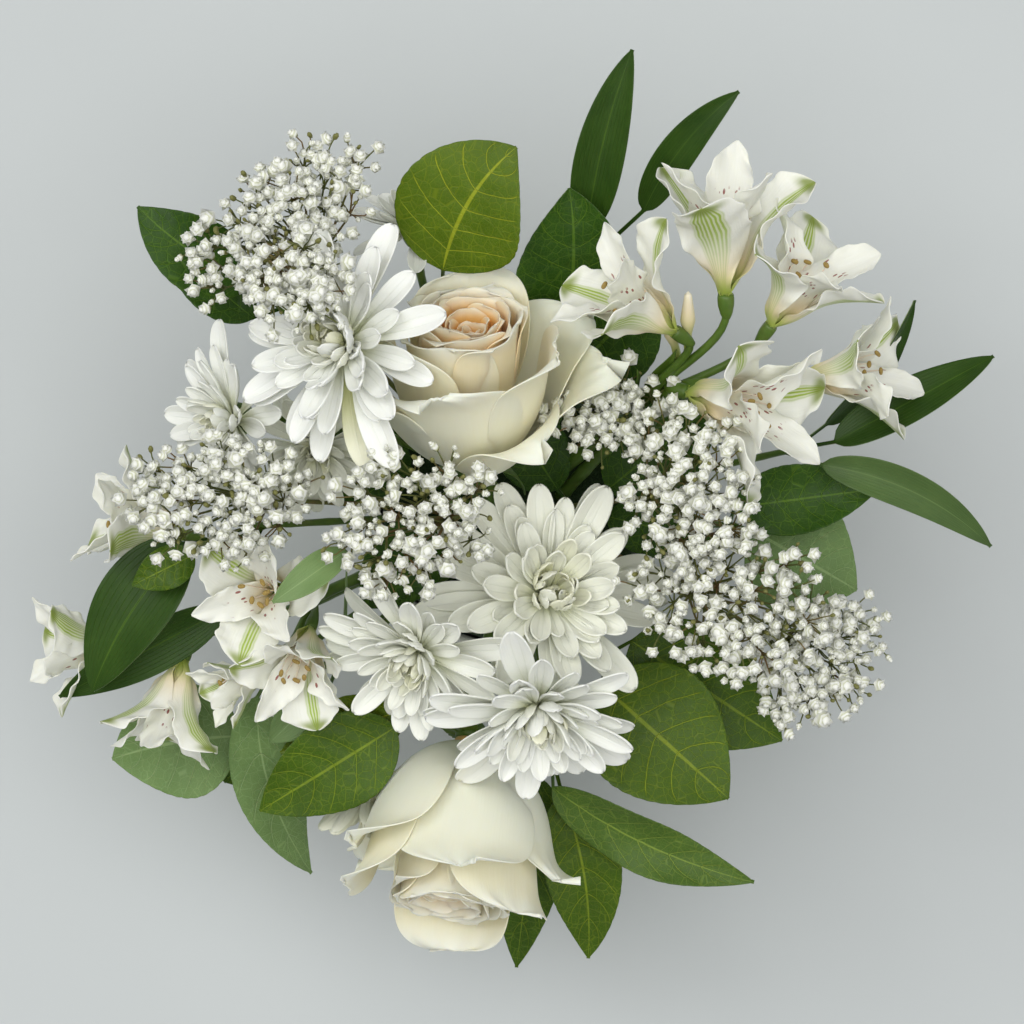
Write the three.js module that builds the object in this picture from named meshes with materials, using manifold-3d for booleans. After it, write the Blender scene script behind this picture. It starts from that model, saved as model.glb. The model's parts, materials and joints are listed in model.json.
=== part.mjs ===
// Floral table centrepiece: roses, spray chrysanthemums, alstroemeria and gypsophila with salal and
// lanceolate foliage, pushed into a block of wet floral foam that fills a plain low bowl.
// Millimetres, +Z up, the origin at the centre of the bowl's flat base.

import * as THREE from "three";
import { mergeVertices } from "three/addons/utils/BufferGeometryUtils.js";
import Module from "manifold-3d";

const wasm = await Module();
wasm.setup();
const { Manifold, Mesh: SolidMesh } = wasm;

// ---------------------------------------------------------------- sizes shared by the whole piece

const GAP = 0.35; // air between neighbouring pieces
const GOLDEN_ANGLE = Math.PI * (3 - Math.sqrt(5));
const UP = new THREE.Vector3(0, 0, 1);

const BOWL = { foot: 40, rim: 64, height: 88, wall: 4, floor: 7, belly: 0.62, facets: 20 };
const BOWL_LEVELS = [6, 20, 44]; // heights of the rings of corners between its foot and its rim
const FOAM = { clearance: 1.7, footInset: 4, shoulder: 106, top: 111, topRadius: 53, facets: 14 };
const STEM_DEPTH = 26; // how far a cut stem stands in the foam

const GREEN = { stem: 0x4f6b2a, salal: 0x2f5a1c, blade: 0x2c4d28 };
const WHITE = { rose: 0xf3ead2, mum: 0xf4f4ee, lily: 0xf5f3e6, gypsophila: 0xf1f1ec };

const vec = (p) => new THREE.Vector3(...p);
const mix = (a, b, t) => a + (b - a) * t;
const radians = THREE.MathUtils.degToRad;

// A repeatable value from 0 to 1 for a numbered thing.
function chance(index, salt) {
  const x = Math.sin(index * 12.9898 + salt * 78.233) * 43758.5453;
  return x - Math.floor(x);
}

// The way a bloom faces: tilt from straight up, towards a compass azimuth in the plan view.
function facing(azimuth, tilt) {
  const a = radians(azimuth);
  const t = radians(tilt);
  return new THREE.Vector3(Math.sin(t) * Math.cos(a), Math.sin(t) * Math.sin(a), Math.cos(t));
}

// ------------------------------------------------------------------------- solids and their nodes

function solidOf(geometry) {
  const bare = new THREE.BufferGeometry().setAttribute("position", geometry.getAttribute("position"));
  bare.setIndex(geometry.index);
  const merged = mergeVertices(bare, 1e-4);
  return new Manifold(
    new SolidMesh({
      numProp: 3,
      vertProperties: new Float32Array(merged.attributes.position.array),
      triVerts: new Uint32Array(merged.index.array),
    }),
  );
}

function geometryOf(solid) {
  const { vertProperties, triVerts } = solid.getMesh();
  return new THREE.BufferGeometry()
    .setAttribute("position", new THREE.BufferAttribute(vertProperties, 3))
    .setIndex(new THREE.BufferAttribute(triVerts, 1));
}

const placed = []; // every element that stands in the arrangement so far
const nodes = new Map(); // node name -> its elements and its material

function isClear(owner, solid) {
  const { min, max } = solid.boundingBox();
  const near = (k, other) => min[k] - GAP < other.max[k] && other.min[k] - GAP < max[k];
  return !placed.some(
    (other) =>
      other.owner !== owner &&
      near(0, other) &&
      near(1, other) &&
      near(2, other) &&
      solid.minGap(other.solid, GAP) < GAP,
  );
}

function keep(owner, solid) {
  const { min, max } = solid.boundingBox();
  placed.push({ owner, solid, min, max });
  nodes.get(owner).solids.push(solid);
}

// Puts an element in place by the first of its variants that stays clear of every other node, and
// returns which one that is. A needed element that finds no room stops the build, and any other is
// left out.
function settle(owner, variants, needed = false) {
  let number = 0;
  for (const solid of variants) {
    if (isClear(owner, solid)) {
      keep(owner, solid);
      return number;
    }
    number += 1;
  }
  if (needed) throw new Error(`${owner} has no clear place for a needed element`);
  return -1;
}

function startNode(name, color, roughness = 0.6) {
  nodes.set(name, { solids: [], material: new THREE.MeshStandardMaterial({ color, roughness }) });
}

// ------------------------------------------------------------------------------ blades and tubes

// Half-width of a blade at s, from root 0 to tip 1, as a share of its greatest.
function outline(s, rise, fall) {
  const widest = rise / (rise + fall);
  return (s / widest) ** rise * ((1 - s) / (1 - widest)) ** fall;
}

// The corners of a blade's cross-section, by its number of sides: how far across from -1 to 1, and how
// far out on the upper (1) or lower (-1) face. The simplest has flat upper side over a keel.
const SECTIONS = {
  3: [[-1, 0], [1, 0], [0, -1]],
  4: [[-1, 0], [0, 1], [1, 0], [0, -1]],
  6: [[-1, 0], [-0.5, 1], [0.5, 1], [1, 0], [0.5, -1], [-0.5, -1]],
};

// The triangles of a blade. A sphere's grid splits its quads one way all round, so those of the lower
// face are turned: then both faces bend along the same lines and can't cross.
function bladeFaces(sides, rings) {
  const faces = [];
  for (let row = 0; row < rings; row++) {
    for (let column = 0; column < sides; column++) {
      const b = row * (sides + 1) + column;
      const [a, c, d] = [b + 1, b + sides + 1, b + sides + 2];
      const lower = column >= Math.floor(sides / 2);
      if (row > 0) faces.push(a, b, lower ? c : d);
      if (row < rings - 1) faces.push(lower ? a : b, c, d);
    }
  }
  return faces;
}

const FLAT_RADIUS = 1e5; // the section of a blade that isn't curled up
const WRAP_LIMIT = 2.8; // radians that a section reaches round at most, to each side

// A closed thin blade along a spine: a sphere of few sides, whose rings become the cross-sections.
// The spine gives the place, the way across and the upper side at s, and `half` the half-width. `wrap`
// is the radius that the section curls up around, `fold` how far its edges lift, `wave` how far they
// ripple, and `spiral` how far one edge lies outside the other.
function blade(spine, half, shape) {
  const { thick, sides = 4, rings = 4, wrap, fold = 0, wave = 0, waves = 2, spiral = 0 } = shape;
  const geometry = new THREE.SphereGeometry(1, sides, rings);
  const position = geometry.attributes.position;
  for (let i = 0; i < position.count; i++) {
    const s = 1 - Math.floor(i / (sides + 1)) / rings;
    const [q, face] = SECTIONS[sides][(i % (sides + 1)) % sides];
    const inside = s > 0 && s < 1 ? 1 : 0;
    const reach = half(s) * q * inside;
    const radius = wrap ? wrap(s) : FLAT_RADIUS;
    const arc = THREE.MathUtils.clamp(reach / radius, -WRAP_LIMIT, WRAP_LIMIT);
    const shell = (inside * face * thick) / 2;
    const ripple = inside * wave * Math.sin(2 * Math.PI * waves * s + (q > 0 ? 0 : 2)) * q * q;
    const lift = fold * half(s) * q * q * inside - spiral * q * s * inside + ripple;
    const { at, across, up } = spine(s);
    const p = at
      .clone()
      .addScaledVector(across, (radius - shell) * Math.sin(arc))
      .addScaledVector(up, radius - (radius - shell) * Math.cos(arc) + lift);
    position.setXYZ(i, p.x, p.y, p.z);
  }
  return solidOf(geometry.setIndex(bladeFaces(sides, rings)));
}

// A petal's spine in the plane through a bloom's axis. `leans` are its angles from that axis at even
// steps from root to tip.
function radialSpine({ base, axis, azimuth, leans, length, root = 0, rise = 0 }) {
  const turn = new THREE.Quaternion().setFromUnitVectors(UP, axis);
  const out = new THREE.Vector3(Math.cos(azimuth), Math.sin(azimuth), 0).applyQuaternion(turn);
  const across = new THREE.Vector3().crossVectors(out, axis).normalize();
  const steps = 24;
  const leanAt = (s) => {
    const x = Math.min(s, 0.9999) * (leans.length - 1);
    return radians(mix(leans[Math.floor(x)], leans[Math.floor(x) + 1], x % 1));
  };
  const track = [[root, rise]];
  for (let i = 1; i <= steps; i++) {
    const lean = leanAt((i - 0.5) / steps);
    const [r, z] = track[i - 1];
    track.push([r + (Math.sin(lean) * length) / steps, z + (Math.cos(lean) * length) / steps]);
  }
  return (s) => {
    const x = Math.min(s, 0.9999) * steps;
    const [a, b] = [track[Math.floor(x)], track[Math.floor(x) + 1]];
    const lean = leanAt(s);
    return {
      at: base
        .clone()
        .addScaledVector(out, mix(a[0], b[0], x % 1))
        .addScaledVector(axis, mix(a[1], b[1], x % 1)),
      across,
      up: out.clone().multiplyScalar(-Math.cos(lean)).addScaledVector(axis, Math.sin(lean)),
    };
  };
}

// A leaf's spine: a straight stalk from the fork up to `stalk`, then a bow from the leaf's base to its
// tip, whose upper side is rolled and twists on its way.
function leafSpine(fork, base, tip, { sag = 0, roll = 0, twist = 0, swing = 0, stalk }) {
  const sideways = new THREE.Vector3().subVectors(tip, base).cross(UP).normalize();
  const middle = base.clone().lerp(tip, 0.5).addScaledVector(UP, sag).addScaledVector(sideways, swing);
  const curve = new THREE.QuadraticBezierCurve3(base, middle, tip);
  return (s) => {
    const x = Math.max((s - stalk) / (1 - stalk), 0);
    const along = curve.getTangent(x);
    if (x === 0) along.add(base.clone().sub(fork).normalize()).normalize();
    const across = new THREE.Vector3().crossVectors(along, UP).normalize();
    across.applyAxisAngle(along, radians(roll + twist * x));
    const at = s < stalk ? fork.clone().lerp(base, s / stalk) : curve.getPoint(x);
    return { at, across, up: new THREE.Vector3().crossVectors(across, along) };
  };
}

function tube(points, radius, sides = 4, steps = 4) {
  const section = new THREE.Shape(
    Array.from({ length: sides }, (_, i) => {
      const a = (2 * Math.PI * i) / sides;
      return new THREE.Vector2(radius * Math.cos(a), radius * Math.sin(a));
    }),
  );
  const straight = points.length === 2;
  const extrudePath = straight ? new THREE.LineCurve3(...points) : new THREE.CatmullRomCurve3(points);
  return solidOf(new THREE.ExtrudeGeometry(section, { steps, extrudePath, bevelEnabled: false }));
}

// A turned solid on an axis, from [radius, height] pairs that start and end on that axis.
function turned(profile, facets, base = new THREE.Vector3(), axis = UP) {
  const geometry = new THREE.LatheGeometry(
    profile.map(([r, z]) => new THREE.Vector2(r, z)),
    facets,
  );
  geometry.rotateX(Math.PI / 2);
  geometry.applyQuaternion(new THREE.Quaternion().setFromUnitVectors(UP, axis));
  geometry.translate(base.x, base.y, base.z);
  return solidOf(geometry);
}

// --------------------------------------------------------------------------------- bowl and foam

// The bowl's outer radius at a height, round-bellied from its foot to an upright rim.
function bowlRadius(z) {
  const quarter = (Math.PI / 2) * (z / BOWL.height) ** BOWL.belly;
  return mix(BOWL.foot, BOWL.rim, Math.sin(quarter));
}

function makeBowl() {
  startNode("bowl", 0xf2f1ec, 0.25);
  const outside = [0, ...BOWL_LEVELS, BOWL.height].map((z) => [bowlRadius(z), z]);
  const inside = outside
    .filter(([, z]) => z > BOWL.floor)
    .map(([r, z]) => [r - BOWL.wall, z])
    .reverse();
  const floor = [bowlRadius(BOWL.floor) - BOWL.wall - 3, BOWL.floor];
  keep("bowl", turned([[0, 0], ...outside, ...inside, floor, [0, BOWL.floor]], BOWL.facets));
}

function makeFoam(holes) {
  startNode("foam", 0x3f5f34, 0.95);
  const inset = BOWL.wall + FOAM.clearance;
  const sunk = [...BOWL_LEVELS.slice(1), BOWL.height].map((z) => [bowlRadius(z) - inset, z]);
  const foot = [bowlRadius(BOWL.floor) - inset - FOAM.footInset, BOWL.floor + 0.5];
  const profile = [
    [0, foot[1]],
    foot,
    ...sunk,
    [bowlRadius(BOWL.height) - inset, FOAM.shoulder],
    [FOAM.topRadius, FOAM.top],
    [0, FOAM.top],
  ];
  settle("foam", [turned(profile, FOAM.facets).subtract(Manifold.union(holes))], true);
}

// ----------------------------------------------------------------------------------------- stems

const holes = []; // the room that each stem takes up in the foam
const ENTRY_LIMIT = 47; // stems enter the foam inside this radius
const STEM_TRIES = 90;
const STEM_SPLAY = 0.35; // how far a stem's foot leans in, as a share of its distance from the middle
const STEM_PULL = { low: 0.35, high: 0.28 }; // how long a stem keeps its direction at either end
const TRY_STEP = 2.6;
const HOLE_AIR = 1.7; // how far the foam stands off a stem's side
const HOLE_SIDES = 4;

// The line of a stem that stands in the foam and swings over to carry something at `top`, arriving
// along `axis`. Each try enters the foam a little further off, and bows to one side or the other.
function stemLine(top, axis, spread, attempt) {
  const reach = Math.hypot(top.x, top.y);
  const share = Math.min(spread, ENTRY_LIMIT / Math.max(reach, 1));
  const turn = attempt * GOLDEN_ANGLE;
  const shift = new THREE.Vector3(Math.cos(turn), Math.sin(turn), 0);
  const entry = new THREE.Vector3(top.x, top.y, 0).multiplyScalar(share);
  entry.addScaledVector(shift, TRY_STEP * Math.sqrt(attempt));
  entry.clampLength(0, ENTRY_LIMIT);
  entry.z = FOAM.top;
  const down = new THREE.Vector3(entry.x * STEM_SPLAY, entry.y * STEM_SPLAY, STEM_DEPTH).normalize();
  const far = entry.distanceTo(top);
  const sideways = new THREE.Vector3(-top.y, top.x, 0).normalize();
  const bow = 0.005 * far * ((attempt % 7) - 3) * Math.min(attempt, 12);
  const curve = new THREE.CubicBezierCurve3(
    entry,
    entry.clone().addScaledVector(down, far * STEM_PULL.low).addScaledVector(sideways, bow),
    top.clone().addScaledVector(axis, -far * STEM_PULL.high).addScaledVector(sideways, bow),
    top,
  );
  const foot = entry.clone().addScaledVector(down, -STEM_DEPTH);
  return [foot, entry, curve.getPoint(0.3), curve.getPoint(0.65), top];
}

// Grows a stem for a node, and returns a function for the points on it, from its top down.
function growStem(owner, top, axis, { radius = 2, spread = 0.3, sides = 4, steps = 5 } = {}) {
  let points = null;
  const variants = (function* () {
    for (let attempt = 0; attempt < STEM_TRIES; attempt++) {
      points = stemLine(top, axis, spread, attempt);
      yield tube(points, radius, sides, steps);
    }
  })();
  settle(owner, variants, true);
  const [foot, entry] = points;
  const room = [foot.clone().lerp(entry, -0.06), foot.clone().lerp(entry, 1.3)];
  holes.push(tube(room, (radius + HOLE_AIR) / Math.cos(Math.PI / HOLE_SIDES), HOLE_SIDES, 1));
  const joints = new THREE.CatmullRomCurve3(points).getSpacedPoints(steps);
  return (share) => joints[steps].clone().lerp(joints[steps - 1], share);
}

// ----------------------------------------------------------------------------------------- roses

// A rose is a furled heart in two rings of petals, then its loose guard petals from the inside out.
// Each row is a petal's azimuth in degrees, length, half-width and leans from root to rim.
const ROSE_HEART = [
  [30, 70, 17, [44, 7, -4, -12]],
  [150, 70, 17, [44, 7, -4, -12]],
  [268, 70, 17, [44, 7, -4, -12]],
  [80, 78, 24, [54, 15, 1, -4]],
  [200, 78, 24, [54, 15, 1, -4]],
  [322, 78, 24, [54, 15, 1, -4]],
];

const ROSES = [
  {
    name: "rose_1",
    base: [-17, 20, 180],
    azimuth: 91,
    tilt: 54,
    guards: [
      [90, 82, 30, [58, 23, 6, 9]],
      [205, 82, 30, [64, 28, 8, 12]],
      [330, 82, 30, [70, 32, 9, 12]],
      [255, 80, 32, [76, 36, 14, 24]],
      [25, 80, 28, [74, 36, 16, 28]],
      [200, 72, 26, [80, 42, 26, 50]],
      [352, 80, 23, [80, 38, 26, 44]],
      [305, 66, 27, [84, 48, 24, 60]],
    ],
  },
  {
    name: "rose_2",
    base: [-18, -100, 146],
    azimuth: 261,
    tilt: 67,
    guards: [
      [270, 91, 30, [58, 23, 6, 9]],
      [30, 90, 30, [64, 28, 8, 12]],
      [150, 90, 30, [70, 32, 9, 12]],
      [265, 86, 30, [76, 35, 10, 16]],
      [75, 86, 34, [76, 37, 12, 16]],
      [135, 82, 31, [80, 42, 14, 22]],
      [10, 80, 27, [82, 44, 12, 17]],
      [218, 74, 25, [84, 46, 18, 30]],
    ],
  },
];

const ROSE_PETAL = { thick: 1.3, sides: 6, rings: 4, spiral: 5 };
const ROSE_CORE = [[0, GAP], [8, GAP], [11, 12], [9, 40], [4, 56], [0, 50]];
const ROSE_CLOSING = [0, -8, -16, -26]; // degrees that a petal may close to clear a neighbour
const ROSE_CALYX = [[0, -10], [7.2, -4], [7.4, 0], [0, 0]];
const SEPALS = { count: 5, turn: 20, length: 30, width: 4.2, root: 4, rise: -2.2 };
const SEPAL_LEANS = [96, 122, 150, 168];

function makeRose({ name, base, azimuth: towards, tilt, guards }) {
  const axis = facing(towards, tilt);
  const seat = vec(base);
  const stem = `${name}_stem`;
  startNode(stem, GREEN.stem);
  growStem(stem, seat.clone().addScaledVector(axis, -7), axis, { radius: 2.9, sides: 5, steps: 8 });
  keep(stem, turned(ROSE_CALYX, 7, seat, axis));
  for (let i = 0; i < SEPALS.count; i++) {
    const azimuth = radians((360 * i) / SEPALS.count + SEPALS.turn);
    const spine = radialSpine({ ...SEPALS, leans: SEPAL_LEANS, base: seat, axis, azimuth });
    const half = (s) => SEPALS.width * outline(s, 0.4, 0.9);
    settle(stem, [blade(spine, half, { thick: 1.3, sides: 3, rings: 3 })]);
  }

  const bloom = `${name}_bloom`;
  startNode(bloom, WHITE.rose, 0.55);
  keep(bloom, turned(ROSE_CORE, 7, seat, axis));
  const petals = [...ROSE_HEART, ...guards];
  for (const [number, [turn, length, width, leans]] of petals.entries()) {
    const variants = ROSE_CLOSING.map((closing) => {
      const spine = radialSpine({
        base: seat,
        axis,
        azimuth: radians(turn),
        leans: leans.map((lean, k) => lean + (k > 1 ? closing : 0)),
        length,
        root: 3,
        rise: mix(10, 1.5, number / petals.length),
      });
      const wrap = (s) => {
        const offset = spine(s).at.sub(seat);
        return Math.max(offset.addScaledVector(axis, -offset.dot(axis)).length() * 1.05, 3);
      };
      return blade(spine, (s) => width * outline(s, 0.9, 0.22), { ...ROSE_PETAL, wrap });
    });
    settle(bloom, variants);
  }
}

// --------------------------------------------------------------------------------- chrysanthemums

// Each head: where its centre sits, the way it faces, the reach of its longest florets and how many
// ray florets stand for its real hundred.
const MUMS = [
  { name: "mum_1", at: [-72, 70, 236], azimuth: 168, tilt: 30, reach: 56, rays: 22 },
  { name: "mum_2", at: [-124, 38, 192], azimuth: 190, tilt: 52, reach: 42, rays: 20 },
  { name: "mum_3", at: [16, -34, 204], azimuth: 40, tilt: 18, reach: 60, rays: 22 },
  { name: "mum_4", at: [11, -85, 228], azimuth: 276, tilt: 46, reach: 53, rays: 22 },
  { name: "mum_5", at: [-42, -62, 220], azimuth: 234, tilt: 42, reach: 47, rays: 22 },
  { name: "mum_6", at: [-40, 128, 184], azimuth: 88, tilt: 54, reach: 36, rays: 13 },
  { name: "mum_7", at: [-66, -127, 138], azimuth: 244, tilt: 98, reach: 46, rays: 13, open: 0.55 },
  { name: "mum_8", at: [-84, 24, 186], azimuth: 262, tilt: 24, reach: 38, rays: 13 },
];
const MUM_CORE = { radius: 8, height: 12 };
const MUM_CUP = [[0, -7], [6.8, 0], [0, 0]];
const MUM_RAY = { thick: 1.3, sides: 3, rings: 3, fold: 0.3 };
const RAY_BENDS = [0, -12, 10, -24, 20, -38]; // degrees that a ray may bend to clear a neighbour
const RAY_SHARES = [1, 0.8];

// The k-th of a head's ray florets, from its button (t = 0) to its rim (t = 1).
function mumRay(t, k, reach, opened) {
  const open = opened * t ** 0.72;
  return {
    length: reach * mix(0.34, 0.9, t ** 0.8) * mix(0.92, 1.08, chance(k, 1)),
    width: reach * mix(0.09, 0.135, t ** 0.7),
    leans: [mix(12, 84, open), mix(10, 92, open), mix(-38, 96, open)],
  };
}

function makeMum({ name, at, azimuth, tilt, reach, rays, open = 1 }, number) {
  const axis = facing(azimuth, tilt);
  const centre = vec(at);
  const seat = centre.clone().addScaledVector(axis, -MUM_CORE.height);
  startNode(`${name}_stem`, GREEN.stem);
  growStem(`${name}_stem`, seat.clone().addScaledVector(axis, -4), axis, { radius: 2.1, sides: 3 });
  keep(`${name}_stem`, turned(MUM_CUP, 7, seat, axis));
  return () => {
    const head = `${name}_head`;
    startNode(head, WHITE.mum);
    const { radius, height } = MUM_CORE;
    keep(head, turned([[0, GAP], [radius, 4], [0, height]], 7, seat, axis));
    for (let k = 0; k < rays; k++) {
      const { length, width, leans } = mumRay(k / (rays - 1), k, reach, open);
      const half = (s) => width * outline(s, 0.75, 0.35);
      const variants = RAY_BENDS.flatMap((bend) =>
        RAY_SHARES.map((share) => {
          const spine = radialSpine({
            base: seat,
            axis,
            azimuth: k * GOLDEN_ANGLE + number,
            leans: leans.map((lean, i) => lean + (i ? bend : bend / 2)),
            length: length * share,
            root: 3,
            rise: mix(8, 3.5, k / rays),
          });
          return blade(spine, half, MUM_RAY);
        }),
      );
      settle(head, variants);
    }
  };
}

// ----------------------------------------------------------------------------------- alstroemeria

// Each flowering stem ends in an umbel of blooms at the points given: base of the bloom, the way it
// faces, its size, and how far its tepals have opened.
const ALSTROEMERIAS = [
  {
    name: "alstroemeria_1",
    umbel: [56, 47, 188],
    lean: [40, 28],
    blooms: [
      { at: [88, 90, 225], azimuth: 94, tilt: 66, size: 1.16, open: 0.75 },
      { at: [67, 75, 220], azimuth: 146, tilt: 62, size: 1.0, open: 0.95 },
      { at: [108, 78, 213], azimuth: 54, tilt: 60, size: 1.0, open: 0.85 },
    ],
    buds: [{ at: [73, 74, 214], azimuth: 92, tilt: 50 }, { at: [68, 70, 205], azimuth: 110, tilt: 40 }],
  },
  {
    name: "alstroemeria_2",
    umbel: [58, 36, 176],
    lean: [20, 34],
    blooms: [
      { at: [74, 50, 204], azimuth: -16, tilt: 60, size: 1.14, open: 1 },
      { at: [124, 56, 188], azimuth: 6, tilt: 66, size: 0.98, open: 0.9 },
    ],
    buds: [],
  },
  {
    name: "alstroemeria_3",
    umbel: [-88, -38, 150],
    lean: [205, 40],
    blooms: [
      { at: [-99, -33, 184], azimuth: 200, tilt: 14, size: 0.88, open: 1.15 },
      { at: [-86, -50, 182], azimuth: 256, tilt: 44, size: 0.86, open: 0.9 },
      { at: [-106, -66, 172], azimuth: 212, tilt: 70, size: 0.62, open: 0.4 },
    ],
    buds: [],
  },
  {
    name: "alstroemeria_4",
    umbel: [-116, -50, 128],
    lean: [195, 52],
    blooms: [
      { at: [-142, -64, 162], azimuth: 254, tilt: 81, size: 0.92, open: 1.05 },
      { at: [-168, -58, 152], azimuth: 184, tilt: 78, size: 0.84, open: 0.85 },
      { at: [-141, -10, 168], azimuth: 162, tilt: 74, size: 0.92, open: 0.85 },
    ],
    buds: [],
  },
];

const TEPALS = 6;
const TEPAL_BENDS = [0, -12, 12, -24, 24]; // degrees that a tepal's tip may bend to clear a neighbour
const ANTHERS = { count: 3, length: 28, root: 1.6, height: 10, filament: 0.5, head: [[1.8, 0], [0, 2]] };
const PEDICEL = { radius: 1.4, spacing: 0.13, below: 8 };
const BUD_SIZE = 0.4;

// The tepals are three broad outer ones, and three narrow inner ones between them.
function tepal(k, size, open) {
  const broad = k % 2 === 0;
  return {
    length: (broad ? 52 : 56) * size,
    width: (broad ? 11 : 7) * size,
    leans: broad ? [40, 18, 34 + 20 * open, 62 * open + 12] : [10, 14, 26 + 20 * open, 46 * open + 12],
    rise: broad ? 1.5 : 1.3,
    fall: 0.55,
  };
}

// A stalk that swells to a head, as one turned solid: [radius, distance along it] from end to end.
function headedStalk(from, to, radius, profile) {
  const axis = to.clone().sub(from);
  const length = axis.length();
  const stalk = [[0, 0], [radius, 0.3], ...profile.map(([r, z]) => [r, length + z])];
  return turned(stalk, 3, from, axis.normalize());
}

function makeAlstroemeria({ name, umbel, lean, blooms, buds }) {
  const stem = `${name}_stem`;
  startNode(stem, GREEN.stem);
  const fork = vec(umbel);
  const joint = growStem(stem, fork, facing(...lean), { radius: 2.6 });
  let forks = 0;
  for (const { at, azimuth, tilt, size = BUD_SIZE } of [...blooms, ...buds]) {
    const axis = facing(azimuth, tilt);
    const seat = vec(at);
    const below = seat.clone().addScaledVector(axis, -PEDICEL.below);
    forks += 1;
    settle(stem, [tube([joint(PEDICEL.spacing * forks), below], PEDICEL.radius, 3, 1)], true);
    const swell = 3 * size + 0.6;
    const tip = size === BUD_SIZE ? [[swell + 1, 9], [0, 22]] : [[swell, 0], [0, 0]];
    keep(stem, turned([[0, -10], [swell, -5], ...tip], 5, seat, axis));
  }
  return () => {
    blooms.forEach(({ at, azimuth, tilt, size, open }, number) => {
      const axis = facing(azimuth, tilt);
      const seat = vec(at);
      const bloom = `${name}_bloom_${number + 1}`;
      startNode(bloom, WHITE.lily);
      keep(bloom, turned([[0, GAP], [5 * size, 8], [3.4 * size, 13], [0, 13]], 6, seat, axis));
      for (let k = 0; k < TEPALS; k++) {
        const { length, width, leans, rise, fall } = tepal(k, size, open);
        const half = (s) => width * outline(s, rise, fall);
        const variants = TEPAL_BENDS.map((bend) => {
          const spine = radialSpine({
            base: seat,
            axis,
            azimuth: radians((360 * k) / TEPALS + 30 * number + 15),
            leans: leans.map((angle, i) => angle + bend * (i / 3)),
            length,
            root: 1,
            rise: 5,
          });
          return blade(spine, half, { thick: 1.2, rings: 4, fold: 0.25, wave: 1.2 * size, waves: 1.5 });
        });
        settle(bloom, variants);
      }
      for (let k = 0; k < ANTHERS.count; k++) {
        const { at: from, up } = radialSpine({
          base: seat.clone().addScaledVector(axis, ANTHERS.height),
          axis,
          azimuth: ((k + 0.25) * 2 * Math.PI) / ANTHERS.count,
          leans: [0, 0],
          length: 1,
          root: ANTHERS.root * size,
        })(0);
        const out = axis.clone().addScaledVector(up, -0.1).normalize();
        const to = from.clone().addScaledVector(out, ANTHERS.length * size);
        settle(bloom, [headedStalk(from, to, ANTHERS.filament, ANTHERS.head)]);
      }
    });
  };
}

// ------------------------------------------------------------------------------------ gypsophila

// Each spray is a dome of tiny florets on forking twigs: the dome's middle, its half-length along
// `along` degrees, its half-breadth and height, and the number of florets that stand for the real ones.
// The stem ends `drop` below the middle, and `lean` further out than it.
const GYPSOPHILA = [
  { at: [-94, 121, 222], half: [48, 22], along: 36, dome: 16, florets: 12, drop: 34 },
  { at: [-86, 91, 256], half: [23, 16], along: 0, dome: 8, florets: 8, drop: 30, lean: 36 },
  { at: [-120, 6, 226], half: [40, 25], along: 4, dome: 14, florets: 11, drop: 34 },
  { at: [-42, -4, 238], half: [36, 30], along: 20, dome: 12, florets: 12, drop: 36 },
  { at: [42, 40, 204], half: [26, 17], along: 10, dome: 10, florets: 8, drop: 36, lean: 12 },
  { at: [74, 8, 226], half: [36, 26], along: 100, dome: 12, florets: 12, drop: 36 },
  { at: [92, -38, 214], half: [44, 32], along: -20, dome: 12, florets: 12, drop: 36 },
  { at: [130, -62, 190], half: [32, 26], along: 60, dome: 10, florets: 11, drop: 34 },
];
const FLORET = [[0.5, -3], [3.8, 0], [0, 2.6]]; // a twig's end, the floret's widest ring and its top
const TWIG_RADIUS = 0.5;
const TWIG_SHIFTS = [
  [0, 0, 0],
  [0, 0, 6],
  [4, 0, 3],
  [-4, 0, 3],
  [0, 4, 3],
  [0, -4, 3],
  [6, 6, 8],
  [-6, -6, 8],
  [0, 0, 12],
];

// The place of a spray's k-th floret on its dome.
function floretPlace({ at, half, along, dome, florets }, k) {
  const share = Math.sqrt((k + 0.5) / florets);
  const turn = k * GOLDEN_ANGLE;
  const lift = dome * (1 - share * share) + 5 * (chance(k, 3) - 0.5);
  const offset = new THREE.Vector3(half[0] * share * Math.cos(turn), half[1] * share * Math.sin(turn), lift);
  return vec(at).add(offset.applyAxisAngle(UP, radians(along)));
}

function makeSpray(spray, number) {
  const { at, drop, florets, lean = -0.45 * drop } = spray;
  const name = `gypsophila_${number + 1}`;
  startNode(name, WHITE.gypsophila, 0.7);
  const centre = vec(at);
  const outward = new THREE.Vector3(centre.x, centre.y, 0).normalize();
  const root = centre.clone().addScaledVector(outward, lean).addScaledVector(UP, -drop);
  const rise = new THREE.Vector3().subVectors(centre, root).normalize();
  const joint = growStem(name, root, rise, { radius: 1.3, sides: 3, spread: 0.34 });
  return () => {
    const places = Array.from({ length: florets }, (_, k) => floretPlace(spray, k));
    const headed = (from, to) =>
      TWIG_SHIFTS.map((shift) => headedStalk(from, to.clone().add(vec(shift)), TWIG_RADIUS, FLORET));
    const branches = [];
    for (let k = 0; 3 * k + 1 < florets - 1; k++) {
      const from = joint(0.1 + 0.12 * k);
      const to = places[3 * k + 1];
      const taken = settle(name, headed(from, to));
      if (taken >= 0) branches.push({ from, to: to.clone().add(vec(TWIG_SHIFTS[taken])), twigs: 0 });
    }
    places.forEach((place, k) => {
      if (k % 3 === 1 && k < florets - 1) return;
      const distance = ({ from, to }) => from.clone().lerp(to, 0.6).distanceTo(place);
      const branch = branches.toSorted((a, b) => distance(a) - distance(b))[0];
      branch.twigs += 1;
      settle(name, headed(branch.from.clone().lerp(branch.to, 0.72 - 0.13 * (branch.twigs % 5)), place));
    });
  };
}

// ---------------------------------------------------------------------------------------- foliage

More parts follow.
